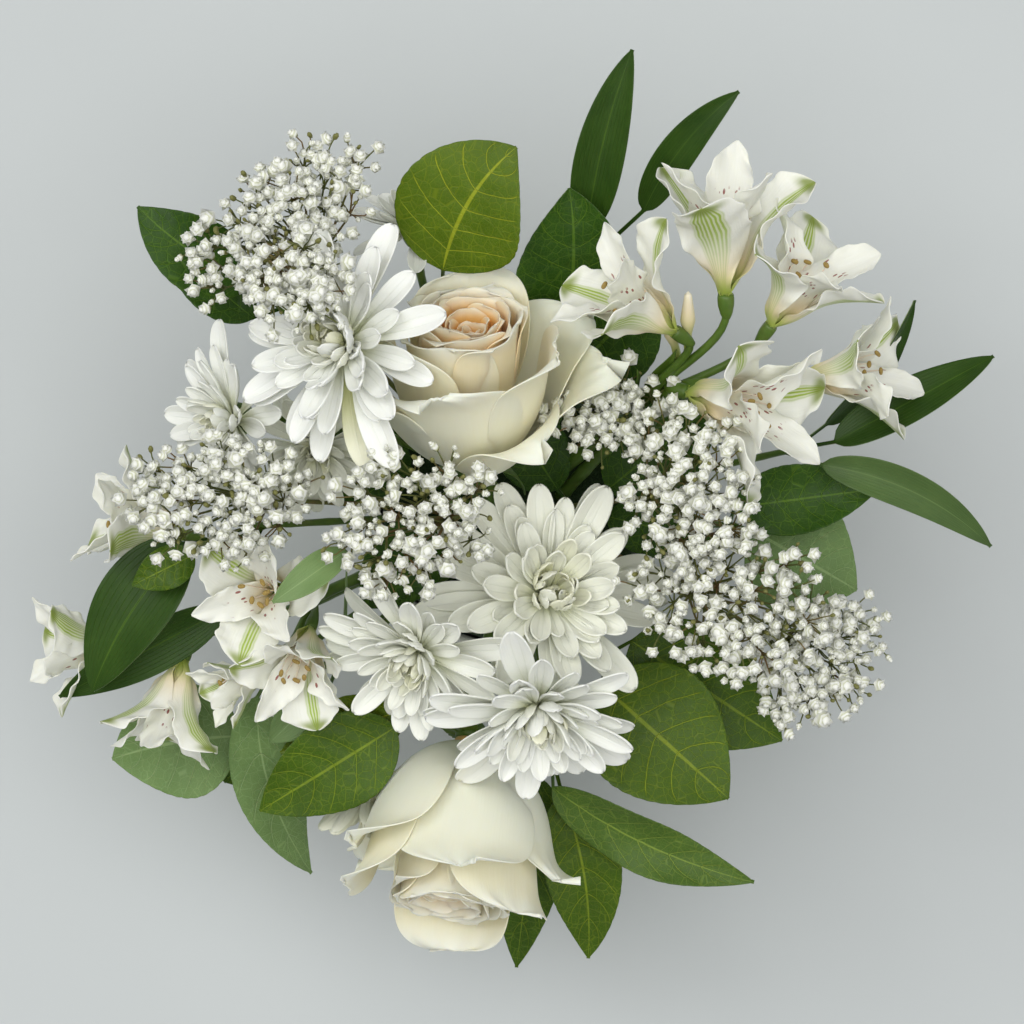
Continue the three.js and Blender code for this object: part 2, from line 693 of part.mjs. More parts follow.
const STALK_HALF = 1.1; // half the width of a leaf's stalk
const LEAF_SHIFTS = [0, 4, -4, 8, -8, 12, -12, 18, -18, 26]; // how far its tip may move up or down
const SALAL = { rise: 0.6, fall: 0.85, thick: 1.3, rings: 5, fold: 0.14 };
const LANCE = { rise: 0.5, fall: 0.8, thick: 1.3, rings: 5, fold: 0.3 };

// Each leafy stem: the end of its stem, then its leaves as base, tip, half-width and how they curve.
const LEAFY_STEMS = [
  {
    name: "salal_1",
    end: [-30, 98, 176],
    leaves: [
      [[-29, 102, 199], [2, 150, 228], 28, { ...SALAL, sag: 8, roll: -6, swing: -10 }],
    ],
  },
  {
    name: "salal_2",
    end: [34, 70, 160],
    leaves: [
      [[22, 76, 172], [24, 136, 202], 24, { ...SALAL, sag: 6, fold: 0.35, swing: 6 }],
      [[58, 92, 168], [14, 48, 164], 23, { ...SALAL, sag: 5, roll: 8 }],
    ],
  },
  {
    name: "salal_3",
    end: [-112, -92, 140],
    leaves: [
      [[-120, -99, 132.5], [-178, -110, 122], 25, { ...SALAL, sag: 7, swing: 5 }],
      [[-104, -98, 136], [-128, -120, 124], 14, { ...SALAL }],
    ],
  },
  {
    name: "salal_4",
    end: [-44, -92, 150],
    leaves: [
      [[-50, -92, 175], [-109, -129, 164], 20, { ...SALAL, sag: 6, roll: -8 }],
      [[-50, -86, 172], [-100, -104, 164], 14, { ...SALAL, sag: -3, fold: 0.3 }],
    ],
  },
  {
    name: "salal_5",
    end: [-104, -68, 156],
    leaves: [
      [[-110, -80, 162.5], [-90, -162, 112], 15, { ...SALAL, sag: 10, roll: 40, twist: -80, swing: 12 }],
    ],
  },
  {
    name: "salal_6",
    end: [44, -64, 150],
    leaves: [
      [[38, -74, 166], [93, -123, 172], 29, { ...SALAL, sag: 8, roll: -6 }],
      [[52, -56, 156], [118, -100, 148], 26, { ...SALAL, sag: 5, roll: 6 }],
    ],
  },
  {
    name: "salal_7",
    end: [18, -110, 138],
    leaves: [
      [[18, -120, 152], [106, -162, 146], 15, { ...SALAL, sag: 0, roll: 22, twist: -24, swing: 10, wave: 2 }],
      [[22, -124, 142], [34, -199, 120], 17, { ...SALAL, sag: 6, swing: -8 }],
      [[12, -118, 126], [2, -206, 100], 15, { ...SALAL, sag: 4 }],
    ],
  },
  {
    name: "salal_8",
    end: [-104, 92, 158],
    leaves: [
      [[-112, 98, 180], [-158, 129, 194], 16, { ...SALAL, sag: 5, swing: -6 }],
      [[-112, 84, 160], [-152, 117, 168], 12, { ...SALAL, sag: 2 }],
    ],
  },
  {
    name: "salal_9",
    end: [98, -6, 150],
    leaves: [
      [[104, -8, 158], [150, -34, 154], 26, { ...SALAL, sag: 3, roll: -6 }],
      [[96, 2, 170], [157, 10, 176], 15, { ...SALAL, sag: 0, fold: 0.3 }],
    ],
  },
  {
    name: "salal_10",
    end: [30, -2, 132],
    leaves: [
      [[42, 10, 141], [92, 50, 136], 19, { ...SALAL, sag: 12 }],
      [[20, 10, 136.5], [-10, 56, 138], 16, { ...SALAL, sag: 8 }],
      [[42, -2, 128], [92, -14, 118], 13, { ...SALAL, sag: 8 }],
    ],
  },
  {
    name: "salal_11",
    end: [-30, 4, 130],
    leaves: [
      [[-46, 14, 125], [-100, 36, 112], 21, { ...SALAL, sag: 12 }],
      [[-34, -8, 136], [-66, -42, 140], 17, { ...SALAL, sag: 8 }],
    ],
  },
  {
    name: "lance_1",
    end: [34, 112, 170],
    leaves: [
      [[32, 120, 182], [50, 192, 216], 10.5, { ...LANCE, sag: 4, swing: -5 }],
      [[56, 128, 188], [94, 174, 220], 8, { ...LANCE, sag: 6, swing: -8 }],
    ],
  },
  {
    name: "lance_2",
    end: [126, 28, 166],
    leaves: [
      [[138, 30, 179], [207, 67, 170], 9, { ...LANCE, sag: 12, roll: -20 }],
      [[136, 38, 160], [171, 90, 186], 7, { ...LANCE, sag: -6, roll: 50, swing: 10 }],
      [[132, 20, 185], [208, -15, 156], 8.5, { ...LANCE, sag: 18, roll: 10, swing: -12 }],
    ],
  },
  {
    name: "lance_3",
    end: [-112, -6, 162],
    leaves: [
      [[-138, -14, 186], [-180, -77, 172], 17, { ...LANCE, sag: 8, roll: 12, swing: 8 }],
      [[-124, -42, 176], [-196, -80, 160], 11, { ...LANCE, sag: 8, roll: -18 }],
      [[-134, -18, 196], [-160, -31, 196], 9, { ...SALAL, sag: 4 }],
    ],
  },
  {
    name: "lance_4",
    end: [-76, -66, 150],
    leaves: [
      [[-78, -74, 172], [-104, -99, 170], 10, { ...LANCE, sag: 3 }],
      [[-68, -16, 226], [-98, -37, 234], 7, { ...LANCE, sag: 6, roll: 30, twist: -40 }],
    ],
  },
];

// A leaf with its stalk in one blade: its first ring is where the stalk meets the leaf.
function leaf(fork, base, tip, width, shape) {
  const stalk = 1 / shape.rings;
  const half = (s) => {
    const x = (s - stalk) / (1 - stalk);
    return Math.max(x > 0 ? width * outline(x, shape.rise, shape.fall) : 0, STALK_HALF);
  };
  return blade(leafSpine(fork, base, tip, { ...shape, stalk }), half, shape);
}

function makeLeafyStem({ name, end, leaves }) {
  startNode(name, name.startsWith("lance") ? GREEN.blade : GREEN.salal, 0.45);
  const top = vec(end);
  const outward = new THREE.Vector3(top.x, top.y, 120).normalize();
  const joint = growStem(name, top, outward, { radius: 1.7, sides: 3, spread: 0.36 });
  return () => {
    leaves.forEach(([from, to, width, shape], number) => {
      const fork = joint(0.05 + 0.2 * number);
      const variants = LEAF_SHIFTS.map((shift) => {
        const [base, tip] = [vec(from), vec(to)];
        base.z += 0.6 * shift;
        tip.z += shift;
        return leaf(fork, base, tip, width, shape);
      });
      settle(name, variants);
    });
  };
}

// ------------------------------------------------------------------------- putting it all together

makeBowl();
ROSES.forEach(makeRose);
const later = [
  ...MUMS.map(makeMum),
  ...ALSTROEMERIAS.map(makeAlstroemeria),
  ...LEAFY_STEMS.map(makeLeafyStem),
  ...GYPSOPHILA.map(makeSpray),
];
later.forEach((finish) => finish());
makeFoam(holes);

// Fuses a node's elements into its one body and leaves out any scrap that came loose.
function fused(solids) {
  const bodies = Manifold.union(solids).decompose();
  return bodies.reduce((best, next) => (next.volume() > best.volume() ? next : best)).simplify(0.02);
}

const centrepiece = new THREE.Group();
for (const [name, { solids, material }] of nodes) {
  const mesh = new THREE.Mesh(geometryOf(fused(solids)), material);
  mesh.name = name;
  centrepiece.add(mesh);
}

export default centrepiece;
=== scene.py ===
"""Floral table centrepiece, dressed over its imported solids. Metres, +Z up, seen from straight above."""
import json
import math

import bpy
import numpy as np
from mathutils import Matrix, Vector

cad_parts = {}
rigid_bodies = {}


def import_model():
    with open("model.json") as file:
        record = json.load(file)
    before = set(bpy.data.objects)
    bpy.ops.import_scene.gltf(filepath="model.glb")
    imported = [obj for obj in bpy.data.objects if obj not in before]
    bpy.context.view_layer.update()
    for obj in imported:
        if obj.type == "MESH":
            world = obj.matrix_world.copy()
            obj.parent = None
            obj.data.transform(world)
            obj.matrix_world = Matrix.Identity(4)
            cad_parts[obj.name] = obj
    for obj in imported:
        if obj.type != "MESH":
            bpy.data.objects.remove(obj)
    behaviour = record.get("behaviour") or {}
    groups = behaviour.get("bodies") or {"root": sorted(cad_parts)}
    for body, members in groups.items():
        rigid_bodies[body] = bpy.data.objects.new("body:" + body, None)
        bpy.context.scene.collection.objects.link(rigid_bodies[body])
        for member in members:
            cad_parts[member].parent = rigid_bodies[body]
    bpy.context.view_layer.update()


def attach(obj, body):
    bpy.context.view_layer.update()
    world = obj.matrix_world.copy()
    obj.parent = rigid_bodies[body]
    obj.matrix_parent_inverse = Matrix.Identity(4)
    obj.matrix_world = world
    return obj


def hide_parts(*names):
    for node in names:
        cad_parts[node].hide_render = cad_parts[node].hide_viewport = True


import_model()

# ------------------------------------------------------------------------------------------------
# Camera, table and lights. The arrangement stands on a plain pale painted table and is seen from
# straight above, in soft light: a wide panel overhead, and a weaker one on either side.
CAMERA_HEIGHT, LENS_MM, SENSOR_MM = 1.5, 108.8, 36
TABLE_HALF, LIT_HEIGHT, ROOM_LIGHT = 4, 0.15, 0.26
TABLE_SHADE, TABLE_PAINT = (0.555, 0.585, 0.582), (0.58, 0.61, 0.607)
PANELS = [
    ("panel_left", (-1.6, 0.9, 2.1), 1.4, 20),
    ("panel_right", (1.8, -0.6, 1.9), 2.4, 12),
    ("panel_top", (-0.1, 0.1, 3.0), 3.0, 57),
]


def stand_in_scene(name, data):
    """A new object of the scene that shows a mesh, a camera or a light."""
    made = bpy.data.objects.new(name, data)
    bpy.context.scene.collection.objects.link(made)
    return made


camera = stand_in_scene("camera", bpy.data.cameras.new("camera"))
camera.location = (0.0, 0.0, CAMERA_HEIGHT)
camera.data.lens = LENS_MM
camera.data.sensor_width = SENSOR_MM
bpy.context.scene.camera = camera


def wire(tree, kind, settings=None, inputs=None):
    """Adds a node to a tree, sets its settings, and sets or links its inputs by name or number."""
    node = tree.nodes.new(kind)
    for name, value in (settings or {}).items():
        setattr(node, name, value)
    for name, value in (inputs or {}).items():
        if isinstance(value, bpy.types.NodeSocket):
            tree.links.new(value, node.inputs[name])
        else:
            node.inputs[name].default_value = value
    return node


def maths(tree, operation, *values):
    """The result of a Math node."""
    return wire(tree, "ShaderNodeMath", {"operation": operation}, dict(enumerate(values))).outputs[0]


def times(tree, first, *others):
    """All the values multiplied, from the first on."""
    for other in others:
        first = maths(tree, "MULTIPLY", first, other)
    return first


def blend(tree, share, a, b, mode="MIX"):
    """The colour between a and b at a share from 0 to 1."""
    a = (*a, 1) if isinstance(a, tuple) else a
    b = (*b, 1) if isinstance(b, tuple) else b
    settings = {"data_type": "RGBA", "blend_type": mode}
    return wire(tree, "ShaderNodeMix", settings, {0: share, 6: a, 7: b}).outputs[2]


def ramp(tree, value, low, high, out_low=0.0, out_high=1.0):
    """A value moved smoothly from one range to another, and held inside it."""
    settings = {"interpolation_type": "SMOOTHSTEP"}
    inputs = {0: value, 1: low, 2: high, 3: out_low, 4: out_high}
    return wire(tree, "ShaderNodeMapRange", settings, inputs).outputs[0]


def noise(tree, where, scale, detail=3.0, stretch=(1, 1, 1), distortion=0.0):
    """Noise from 0 to 1 on coordinates stretched along their axes."""
    placed = wire(tree, "ShaderNodeMapping", None, {"Vector": where, "Scale": stretch}).outputs[0]
    inputs = {"Vector": placed, "Scale": scale, "Detail": detail, "Distortion": distortion}
    return wire(tree, "ShaderNodeTexNoise", None, inputs).outputs[0]


def solid_place(tree):
    """The place of a point in the object, in metres."""
    return wire(tree, "ShaderNodeTexCoord").outputs["Object"]


def finish_of(name, **sockets):
    """A new material with values on its shader: returns it, its node tree and its shader."""
    made = bpy.data.materials.new(name)
    made.use_nodes = True
    shader = made.node_tree.nodes["Principled BSDF"]
    for socket, value in sockets.items():
        shader.inputs[socket.replace("_", " ")].default_value = value
    return made, made.node_tree, shader


def dress(tree, shader, colour, roughness, height, depth, strength):
    """Links a colour, a roughness if there is one, and a relief so many metres deep to a shader."""
    tree.links.new(colour, shader.inputs["Base Color"])
    if roughness is not None:
        tree.links.new(roughness, shader.inputs["Roughness"])
    bump = wire(tree, "ShaderNodeBump", None, {"Strength": strength, "Distance": depth, "Height": height})
    tree.links.new(bump.outputs[0], shader.inputs["Normal"])


table_finish, tree, shader = finish_of("painted_table", Roughness=0.85)
grain = noise(tree, solid_place(tree), 9.0, 5.0)
dress(tree, shader, blend(tree, grain, TABLE_SHADE, TABLE_PAINT), None, grain, 0.0004, 0.3)
table_top = bpy.data.meshes.new("table")
corners = [(-TABLE_HALF, -TABLE_HALF, 0), (TABLE_HALF, -TABLE_HALF, 0)]
corners += [(TABLE_HALF, TABLE_HALF, 0), (-TABLE_HALF, TABLE_HALF, 0)]
table_top.from_pydata(corners, [], [(0, 1, 2, 3)])
table_top.materials.append(table_finish)
table = stand_in_scene("table", table_top)

for name, spot, size, watts in PANELS:
    light = stand_in_scene(name, bpy.data.lights.new(name, "AREA"))
    light.data.shape = "DISK"
    light.data.size = size
    light.data.energy = watts
    light.location = spot
    aim = Vector((0, 0, LIT_HEIGHT)) - Vector(spot)
    light.rotation_euler = aim.to_track_quat("-Z", "Y").to_euler()
world = bpy.data.worlds.new("studio")
world.use_nodes = True
room = world.node_tree.nodes["Background"].inputs
room["Color"].default_value = (0.98, 0.99, 1.0, 1)
room["Strength"].default_value = ROOM_LIGHT
bpy.context.scene.world = world
bpy.context.scene.view_settings.view_transform = "Standard"

# ------------------------------------------------------------------------------------------------
# Bowl: a plain round-bellied stoneware bowl with a thick rounded lip and a turned foot, dipped in a
# white glaze that pools a little at the foot. It stands on the table and is hidden by the flowers.
MM = 0.001
FOOT, RIM, HEIGHT, WALL, FLOOR = 40.0, 64.0, 88.0, 4.0, 7.0
BELLY = 0.62
LIP_HEIGHT, FOOT_HOLLOW = 86, 1.2
GLAZE_THIN, GLAZE_THICK, GLAZE_POOL = (0.80, 0.79, 0.75), (0.88, 0.87, 0.84), (0.72, 0.72, 0.68)
IRON_SPECK = (0.42, 0.36, 0.29)


def bowl_radius(z):
    """The bowl's outer radius at a height, in millimetres."""
    return FOOT + (RIM - FOOT) * math.sin(math.pi / 2 * (max(z, 0.0) / HEIGHT) ** BELLY)


def new_piece(name, parts, materials):
    """One mesh object from parts in millimetres: (points, faces, values by name, material number)."""
    mesh = bpy.data.meshes.new(name)
    points, faces, numbers, flat = [], [], [], []
    values = {key: [] for key in ("along", "across", "under", "tone", "kind")}
    start = 0
    for verts, quads, carried, number in parts:
        points.append(verts)
        faces += [tuple(int(i) + start for i in quad) for quad in quads]
        numbers += [number] * len(quads)
        for key, column in values.items():
            column.append(np.broadcast_to(np.asarray(carried.get(key, 0.0), float), len(verts)))
        flat.append(carried.get("flat", np.asarray(verts)[:, :2] * MM))
        start += len(verts)
    mesh.from_pydata((np.concatenate(points) * MM).tolist(), [], faces)
    for finish in materials:
        mesh.materials.append(finish)
    mesh.polygons.foreach_set("material_index", numbers)
    for key, column in values.items():
        mesh.attributes.new(key, "FLOAT", "POINT").data.foreach_set("value", np.concatenate(column))
    corners = np.zeros(len(mesh.loops), int)
    mesh.loops.foreach_get("vertex_index", corners)
    layer = mesh.uv_layers.new(name="surface")
    layer.data.foreach_set("uv", np.concatenate(flat)[corners].ravel())
    mesh.shade_smooth()
    return stand_in_scene(name, mesh)


def upright_to(axis):
    """The turn that takes straight up to an axis, as a matrix."""
    return np.array(Vector((0, 0, 1)).rotation_difference(Vector(axis)).to_matrix())


def ring_faces(start, sides):
    """The faces between a ring of points and the ring after it."""
    pairs = [(start + i, start + (i + 1) % sides) for i in range(sides)]
    return [(i, j, j + sides, i + sides) for i, j in pairs]


def fan_faces(start, sides, tip, top):
    """The faces between a ring of points and a point on the axis, at the top or at the foot."""
    pairs = [(start + i, start + (i + 1) % sides) for i in range(sides)]
    return [(i, j, tip) if top else (tip, j, i) for i, j in pairs]


def round_faces(rings, sides):
    """The faces of a closed body: a point, rings of points from foot to top, and a point."""
    faces = fan_faces(1, sides, 0, False)
    for k in range(rings - 1):
        faces += ring_faces(1 + k * sides, sides)
    return faces + fan_faces(1 + (rings - 1) * sides, sides, 1 + rings * sides, True)


def turned(profile, sides, base=(0, 0, 0), axis=(0, 0, 1)):
    """A turned closed body: (radius, height) pairs that start and end on the axis."""
    angles = 2 * np.pi * np.arange(sides) / sides
    rings = [(r * math.cos(a), r * math.sin(a), z) for r, z in profile[1:-1] for a in angles]
    points = np.array([(0, 0, profile[0][1])] + rings + [(0, 0, profile[-1][1])])
    return points @ upright_to(axis).T + np.array(base), round_faces(len(profile) - 2, sides)


def place_piece(made, slot, *nodes):
    """Lets a piece ride on the one body and stands it in for its solids; its slot is not used."""
    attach(made, "root")
    if nodes:
        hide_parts(*nodes)


glaze, tree, shader = finish_of("bowl_glaze", IOR=1.52, Coat_Weight=0.5, Coat_Roughness=0.06)
place = solid_place(tree)
cloud = noise(tree, place, 28.0, 4.0)
speckle = ramp(tree, noise(tree, place, 620.0, 2.0), 0.66, 0.74)
height = wire(tree, "ShaderNodeSeparateXYZ", None, {0: place}).outputs[2]
pooled = ramp(tree, height, 0.0, 0.022, 0.55, 0.0)
coat = blend(tree, cloud, GLAZE_THIN, GLAZE_THICK)
coat = blend(tree, times(tree, speckle, 0.35), coat, IRON_SPECK)
coat = blend(tree, pooled, coat, GLAZE_POOL)
dress(tree, shader, coat, ramp(tree, cloud, 0.3, 0.7, 0.1, 0.26), cloud, 0.0004, 0.4)

foot = [(0, FOOT_HOLLOW), (FOOT - 8, FOOT_HOLLOW), (FOOT - 6, 0)]
foot += [(FOOT - 3, 0), (FOOT - 0.8, 0.5), (FOOT, 1.6)]
outside = [(bowl_radius(z), z) for z in np.linspace(4, 84, 30)]
lip_middle = bowl_radius(LIP_HEIGHT) - WALL / 2
half_turn = np.linspace(0, math.pi, 9)
lip = [(lip_middle + WALL / 2 * math.cos(a), LIP_HEIGHT + 2 * math.sin(a)) for a in half_turn]
inside = [(bowl_radius(z) - WALL, z) for z in np.linspace(82, 14, 24)]
basin = [(bowl_radius(10) - WALL - 2, 9.5), (bowl_radius(FLOOR) - WALL - 6, FLOOR + 0.4), (0, FLOOR)]
bowl = new_piece("glazed_bowl", [(*turned(foot + outside + lip + inside + basin, 96), {}, 0)], [glaze])
place_piece(bowl, "glazed_bowl", "bowl")

# ------------------------------------------------------------------------------------------------
# Foam: a block of wet floral foam cut to fill the bowl and stand proud of its rim, its top edge
# shaved round by hand. It is crumbly, open-celled and dark where it has drunk.
FOAM_TOP, FOAM_GAP = 111.0, 1.7
SHAVED, SHAVED_AT = 4.6, (53, 106.4)
FOAM_WET, FOAM_DRY = (0.012, 0.026, 0.010), (0.035, 0.065, 0.024)
foam_finish, tree, shader = finish_of("wet_foam", Roughness=0.9, Specular_IOR_Level=0.25)
place = solid_place(tree)
cells = wire(tree, "ShaderNodeTexVoronoi", None, {"Vector": place, "Scale": 900.0}).outputs[0]
damp = noise(tree, place, 60.0, 5.0)
dress(tree, shader, blend(tree, damp, FOAM_WET, FOAM_DRY), None, cells, 0.0006, 0.9)
inset = WALL + FOAM_GAP
side = [(bowl_radius(z) - inset, z) for z in np.linspace(12, 88, 20)]
side += [(bowl_radius(HEIGHT) - inset, 96), (bowl_radius(HEIGHT) - inset, 104)]
quarter = np.linspace(0.2, math.pi / 2, 6)
edge = [(SHAVED_AT[0] + SHAVED * math.cos(a), SHAVED_AT[1] + SHAVED * math.sin(a)) for a in quarter]
top = [(r, FOAM_TOP - 0.3 * math.sin(r)) for r in np.linspace(50, 3, 16)]
points, faces = turned([(0, 8), (24, 8)] + side + edge + top + [(0, FOAM_TOP)], 72)
rough = np.random.default_rng(5).normal(0, 0.22, len(points))
points[:, :2] *= (1 - np.abs(rough) / 60)[:, None]
points[1:, 2] = np.minimum(points[1:, 2] + rough[1:] * (points[1:, 2] > 100), FOAM_TOP)
foam = new_piece("foam_block", [(points, faces, {}, 0)], [foam_finish])
place_piece(foam, "wet_foam", "foam")

# ------------------------------------------------------------------------------------------------
# Stems: the cut green stem under each bloom and spray, pushed 26 mm into the foam. Each follows a
# bowed line from its hole to what it carries, and swells at its joints. A tree of nodes turns the
# line, with its thickness at each point, into a round closed stem with its heads at its ends.
ENTRY_LIMIT, STEM_DEPTH, HOLE_STEP = 47.0, 26.0, 2.6
GOLDEN_ANGLE = math.pi * (3 - math.sqrt(5))
FULL_TURN = 6.283
STEM_GREEN, STEM_LIGHT, STEM_RUSSET = (0.035, 0.085, 0.006), (0.12, 0.205, 0.022), (0.20, 0.19, 0.06)


def facing(azimuth, tilt):
    """The way a bloom faces: a tilt from straight up towards an azimuth, in degrees."""
    a, t = math.radians(azimuth), math.radians(tilt)
    return np.array((math.sin(t) * math.cos(a), math.sin(t) * math.sin(a), math.cos(t)))


def bezier(points, count):
    """So many points along a cubic curve, from its first point to its last."""
    a, b, c, d = (np.asarray(p, float) for p in points)
    t = np.linspace(0, 1, count)[:, None]
    return a * (1 - t) ** 3 + 3 * b * t * (1 - t) ** 2 + 3 * c * t * t * (1 - t) + d * t ** 3


def stem_line(top, axis, route=0, spread=0.3, count=26):
    """A stem's line from its foot in the foam up to its top, where it arrives along an axis."""
    top, axis = np.asarray(top, float), np.asarray(axis, float)
    reach = math.hypot(top[0], top[1])
    share = min(spread, ENTRY_LIMIT / max(reach, 1))
    shift, turn = HOLE_STEP * math.sqrt(route), route * GOLDEN_ANGLE
    entry = np.array((top[0] * share + shift * math.cos(turn), top[1] * share + shift * math.sin(turn)))
    entry *= min(1, ENTRY_LIMIT / max(np.linalg.norm(entry), 1e-6))
    entry = np.append(entry, FOAM_TOP)
    down = np.array((entry[0] * 0.35, entry[1] * 0.35, STEM_DEPTH))
    down /= np.linalg.norm(down)
    far = np.linalg.norm(top - entry)
    sideways = np.array((-top[1], top[0], 0)) / max(reach, 1e-6)
    bow = ((route % 7) - 3) * 0.05 * min(route, 12) * 0.1 * far * sideways
    curve = bezier((entry, entry + down * far * 0.35 + bow, top - axis * far * 0.28 + bow, top), count)
    return np.concatenate([[entry - down * STEM_DEPTH, entry - down * STEM_DEPTH / 2], curve])


def new_tree(name, inputs, output):
    """An empty tree of nodes with named inputs and one shape out: returns it and what it is given."""
    tree = bpy.data.node_groups.new(name, "GeometryNodeTree")
    for label, kind in inputs:
        tree.interface.new_socket(label, in_out="INPUT", socket_type="NodeSocket" + kind)
    tree.interface.new_socket(output, in_out="OUTPUT", socket_type="NodeSocketGeometry")
    return tree, tree.nodes.new("NodeGroupInput").outputs


def step(tree, kind, inputs, **settings):
    """The first result of a node that makes or turns something."""
    return wire(tree, kind, settings, inputs).outputs[0]


def carried_value(tree, name, kind="FLOAT"):
    """A value that the points of a shape carry."""
    return step(tree, "GeometryNodeInputNamedAttribute", {0: name}, data_type=kind)


def stored(tree, shape, name, value):
    """A shape whose points also carry a value under a name."""
    return step(tree, "GeometryNodeStoreNamedAttribute", {0: shape, 2: name, 3: value}, data_type="FLOAT")


def random_size(tree, low, high, seed):
    """A random number between two limits at each point."""
    inputs = {2: low, 3: high, 8: seed}
    return wire(tree, "FunctionNodeRandomValue", {"data_type": "FLOAT"}, inputs).outputs[1]


def stalk_nodes():
    """The tree that makes stalks of a set of lines, and puts a head on each marked end."""
    inputs = [("Lines", "Geometry"), ("Sides", "Int"), ("Bark", "Material"), ("Heads", "Collection")]
    tree, given = new_tree("stalks", inputs + [("Head Size", "Float"), ("Seed", "Int")], "Stalks")
    curve = step(tree, "GeometryNodeMeshToCurve", {0: given["Lines"]})
    ring = step(tree, "GeometryNodeCurvePrimitiveCircle", {"Resolution": given["Sides"], "Radius": 1.0})
    thick, head = carried_value(tree, "thick"), carried_value(tree, "head")
    tubes = step(tree, "GeometryNodeCurveToMesh", {0: curve, 1: ring, 2: thick, 3: True})
    tubes = stored(tree, step(tree, "GeometryNodeSetShadeSmooth", {0: tubes}), "bark", 1.0)
    heads = step(tree, "GeometryNodeCollectionInfo", {0: given["Heads"], 1: True, 2: True})
    way = carried_value(tree, "facing", "FLOAT_VECTOR")
    lift = step(tree, "FunctionNodeAlignRotationToVector", {2: way}, axis="Z")
    spin = random_size(tree, 0.0, FULL_TURN, given["Seed"])
    spin = step(tree, "FunctionNodeAxisAngleToRotation", {0: (0, 0, 1), 1: spin})
    lift = step(tree, "FunctionNodeRotateRotation", {0: lift, 1: spin}, rotation_space="LOCAL")
    size = times(tree, given["Head Size"], head)
    picked = {4: 0, 5: 5, 8: given["Seed"]}
    pick = wire(tree, "FunctionNodeRandomValue", {"data_type": "INT"}, picked).outputs[2]
    inputs = {0: given["Lines"], 1: head, 2: heads, 3: True, 4: pick, 5: lift, 6: size}
    ends = step(tree, "GeometryNodeInstanceOnPoints", inputs)
    both = tree.nodes.new("GeometryNodeJoinGeometry")
    for made in (ends, tubes):
        tree.links.new(made, both.inputs[0])
    solid = step(tree, "GeometryNodeRealizeInstances", {0: both.outputs[0]})
    bark = carried_value(tree, "bark")
    solid = step(tree, "GeometryNodeSetMaterial", {0: solid, 1: bark, 2: given["Bark"]})
    tree.links.new(solid, wire(tree, "NodeGroupOutput").inputs[0])
    return tree


def grown(name, tree, values, source):
    """A plain mesh object made by a tree of nodes with the values given, from a source mesh."""
    held = stand_in_scene(name + "_lines", source)
    maker = held.modifiers.new("maker", "NODES")
    maker.node_group = tree
    sockets = {s.name: s.identifier for s in tree.interface.items_tree if s.in_out == "INPUT"}
    for key, value in values.items():
        maker[sockets[key]] = value
    bpy.context.view_layer.update()
    seen = held.evaluated_get(bpy.context.evaluated_depsgraph_get())
    mesh = bpy.data.meshes.new_from_object(seen)
    held.modifiers.remove(maker)
    bpy.data.objects.remove(held)
    mesh.name = name
    return stand_in_scene(name, mesh)


def lines_mesh(name, lines):
    """Open lines as one mesh: (points, thickness along them, head size at the end, way it faces)."""
    mesh = bpy.data.meshes.new(name)
    points, edges, thick, head, faces = [], [], [], [], []
    for line, radius, end, way in lines:
        start = len(points)
        points += (np.asarray(line) * MM).tolist()
        edges += [(start + i, start + i + 1) for i in range(len(line) - 1)]
        thick += (np.broadcast_to(radius, len(line)) * MM).tolist()
        head += [0.0] * (len(line) - 1) + [end]
        faces += [tuple(way)] * len(line)
    mesh.from_pydata(points, edges, [])
    mesh.attributes.new("thick", "FLOAT", "POINT").data.foreach_set("value", thick)
    mesh.attributes.new("head", "FLOAT", "POINT").data.foreach_set("value", head)
    mesh.attributes.new("facing", "FLOAT_VECTOR", "POINT").data.foreach_set("vector", np.ravel(faces))
    return mesh


def swollen(line, radius, joints=4, taper=0.85):
    """The thickness along a stem that tapers a little and swells at its leaf joints."""
    s = np.linspace(0, 1, len(line))
    knots = sum(np.exp(-(((s - (k + 0.6) / joints) * 30) ** 2)) for k in range(joints))
    return radius * (1 + (taper - 1) * s) * (1 + 0.14 * knots)


stem_finish, tree, shader = finish_of(
    "stem_skin", Roughness=0.42, Subsurface_Weight=0.1, Subsurface_Scale=0.001,
)
place = solid_place(tree)
streak = noise(tree, place, 220.0, 4.0, (1, 1, 0.12))
blotch = noise(tree, place, 40.0, 3.0)
fresh = blend(tree, streak, STEM_GREEN, STEM_LIGHT)
fresh = blend(tree, ramp(tree, blotch, 0.55, 0.75, 0.0, 0.5), fresh, STEM_RUSSET)
dress(tree, shader, fresh, ramp(tree, streak, 0.2, 0.8, 0.36, 0.55), streak, 0.0002, 0.6)
bare = bpy.data.collections.new("no_heads")
stalks = stalk_nodes()


def add_stalks(name, lines, sides=10, bark=stem_finish, heads=bare, head_size=1.0, seed=1):
    """Stalks along lines as one plain object."""
    values = {"Sides": sides, "Bark": bark, "Heads": heads, "Head Size": head_size, "Seed": seed}
    return grown(name, stalks, values, lines_mesh(name, lines))


# ------------------------------------------------------------------------------------------------
# Roses: two garden roses, cut open. Each petal is one soft thin blade, rooted on the receptacle,
# cupped round the heart and rolled out at its rim. The heart is a tight spiral, warm peach in the
# first rose and paler in the second; that peach is partly painted shade down in the crevices. The
# petal rims are painted paler, a painted highlight.
ROSE_CREAM, ROSE_LIGHT, ROSE_RIM_HIGHLIGHT = (0.86, 0.78, 0.52), (0.90, 0.84, 0.62), (0.92, 0.915, 0.78)
ROSE_CLAW, ROSE_GUARD, ROSE_PEACH_AND_SHADE = (0.70, 0.74, 0.36), (0.88, 0.90, 0.74), (0.90, 0.50, 0.15)
ROSE_BRUISE = (0.72, 0.68, 0.36)
SEPAL_LEANS, SEPAL_LENGTH, SEPAL_WIDTH = (96, 122, 150, 168), 30, 4.2


def attribute(tree, name):
    """A value that the mesh carries at its points."""
    return wire(tree, "ShaderNodeAttribute", {"attribute_name": name}).outputs["Fac"]


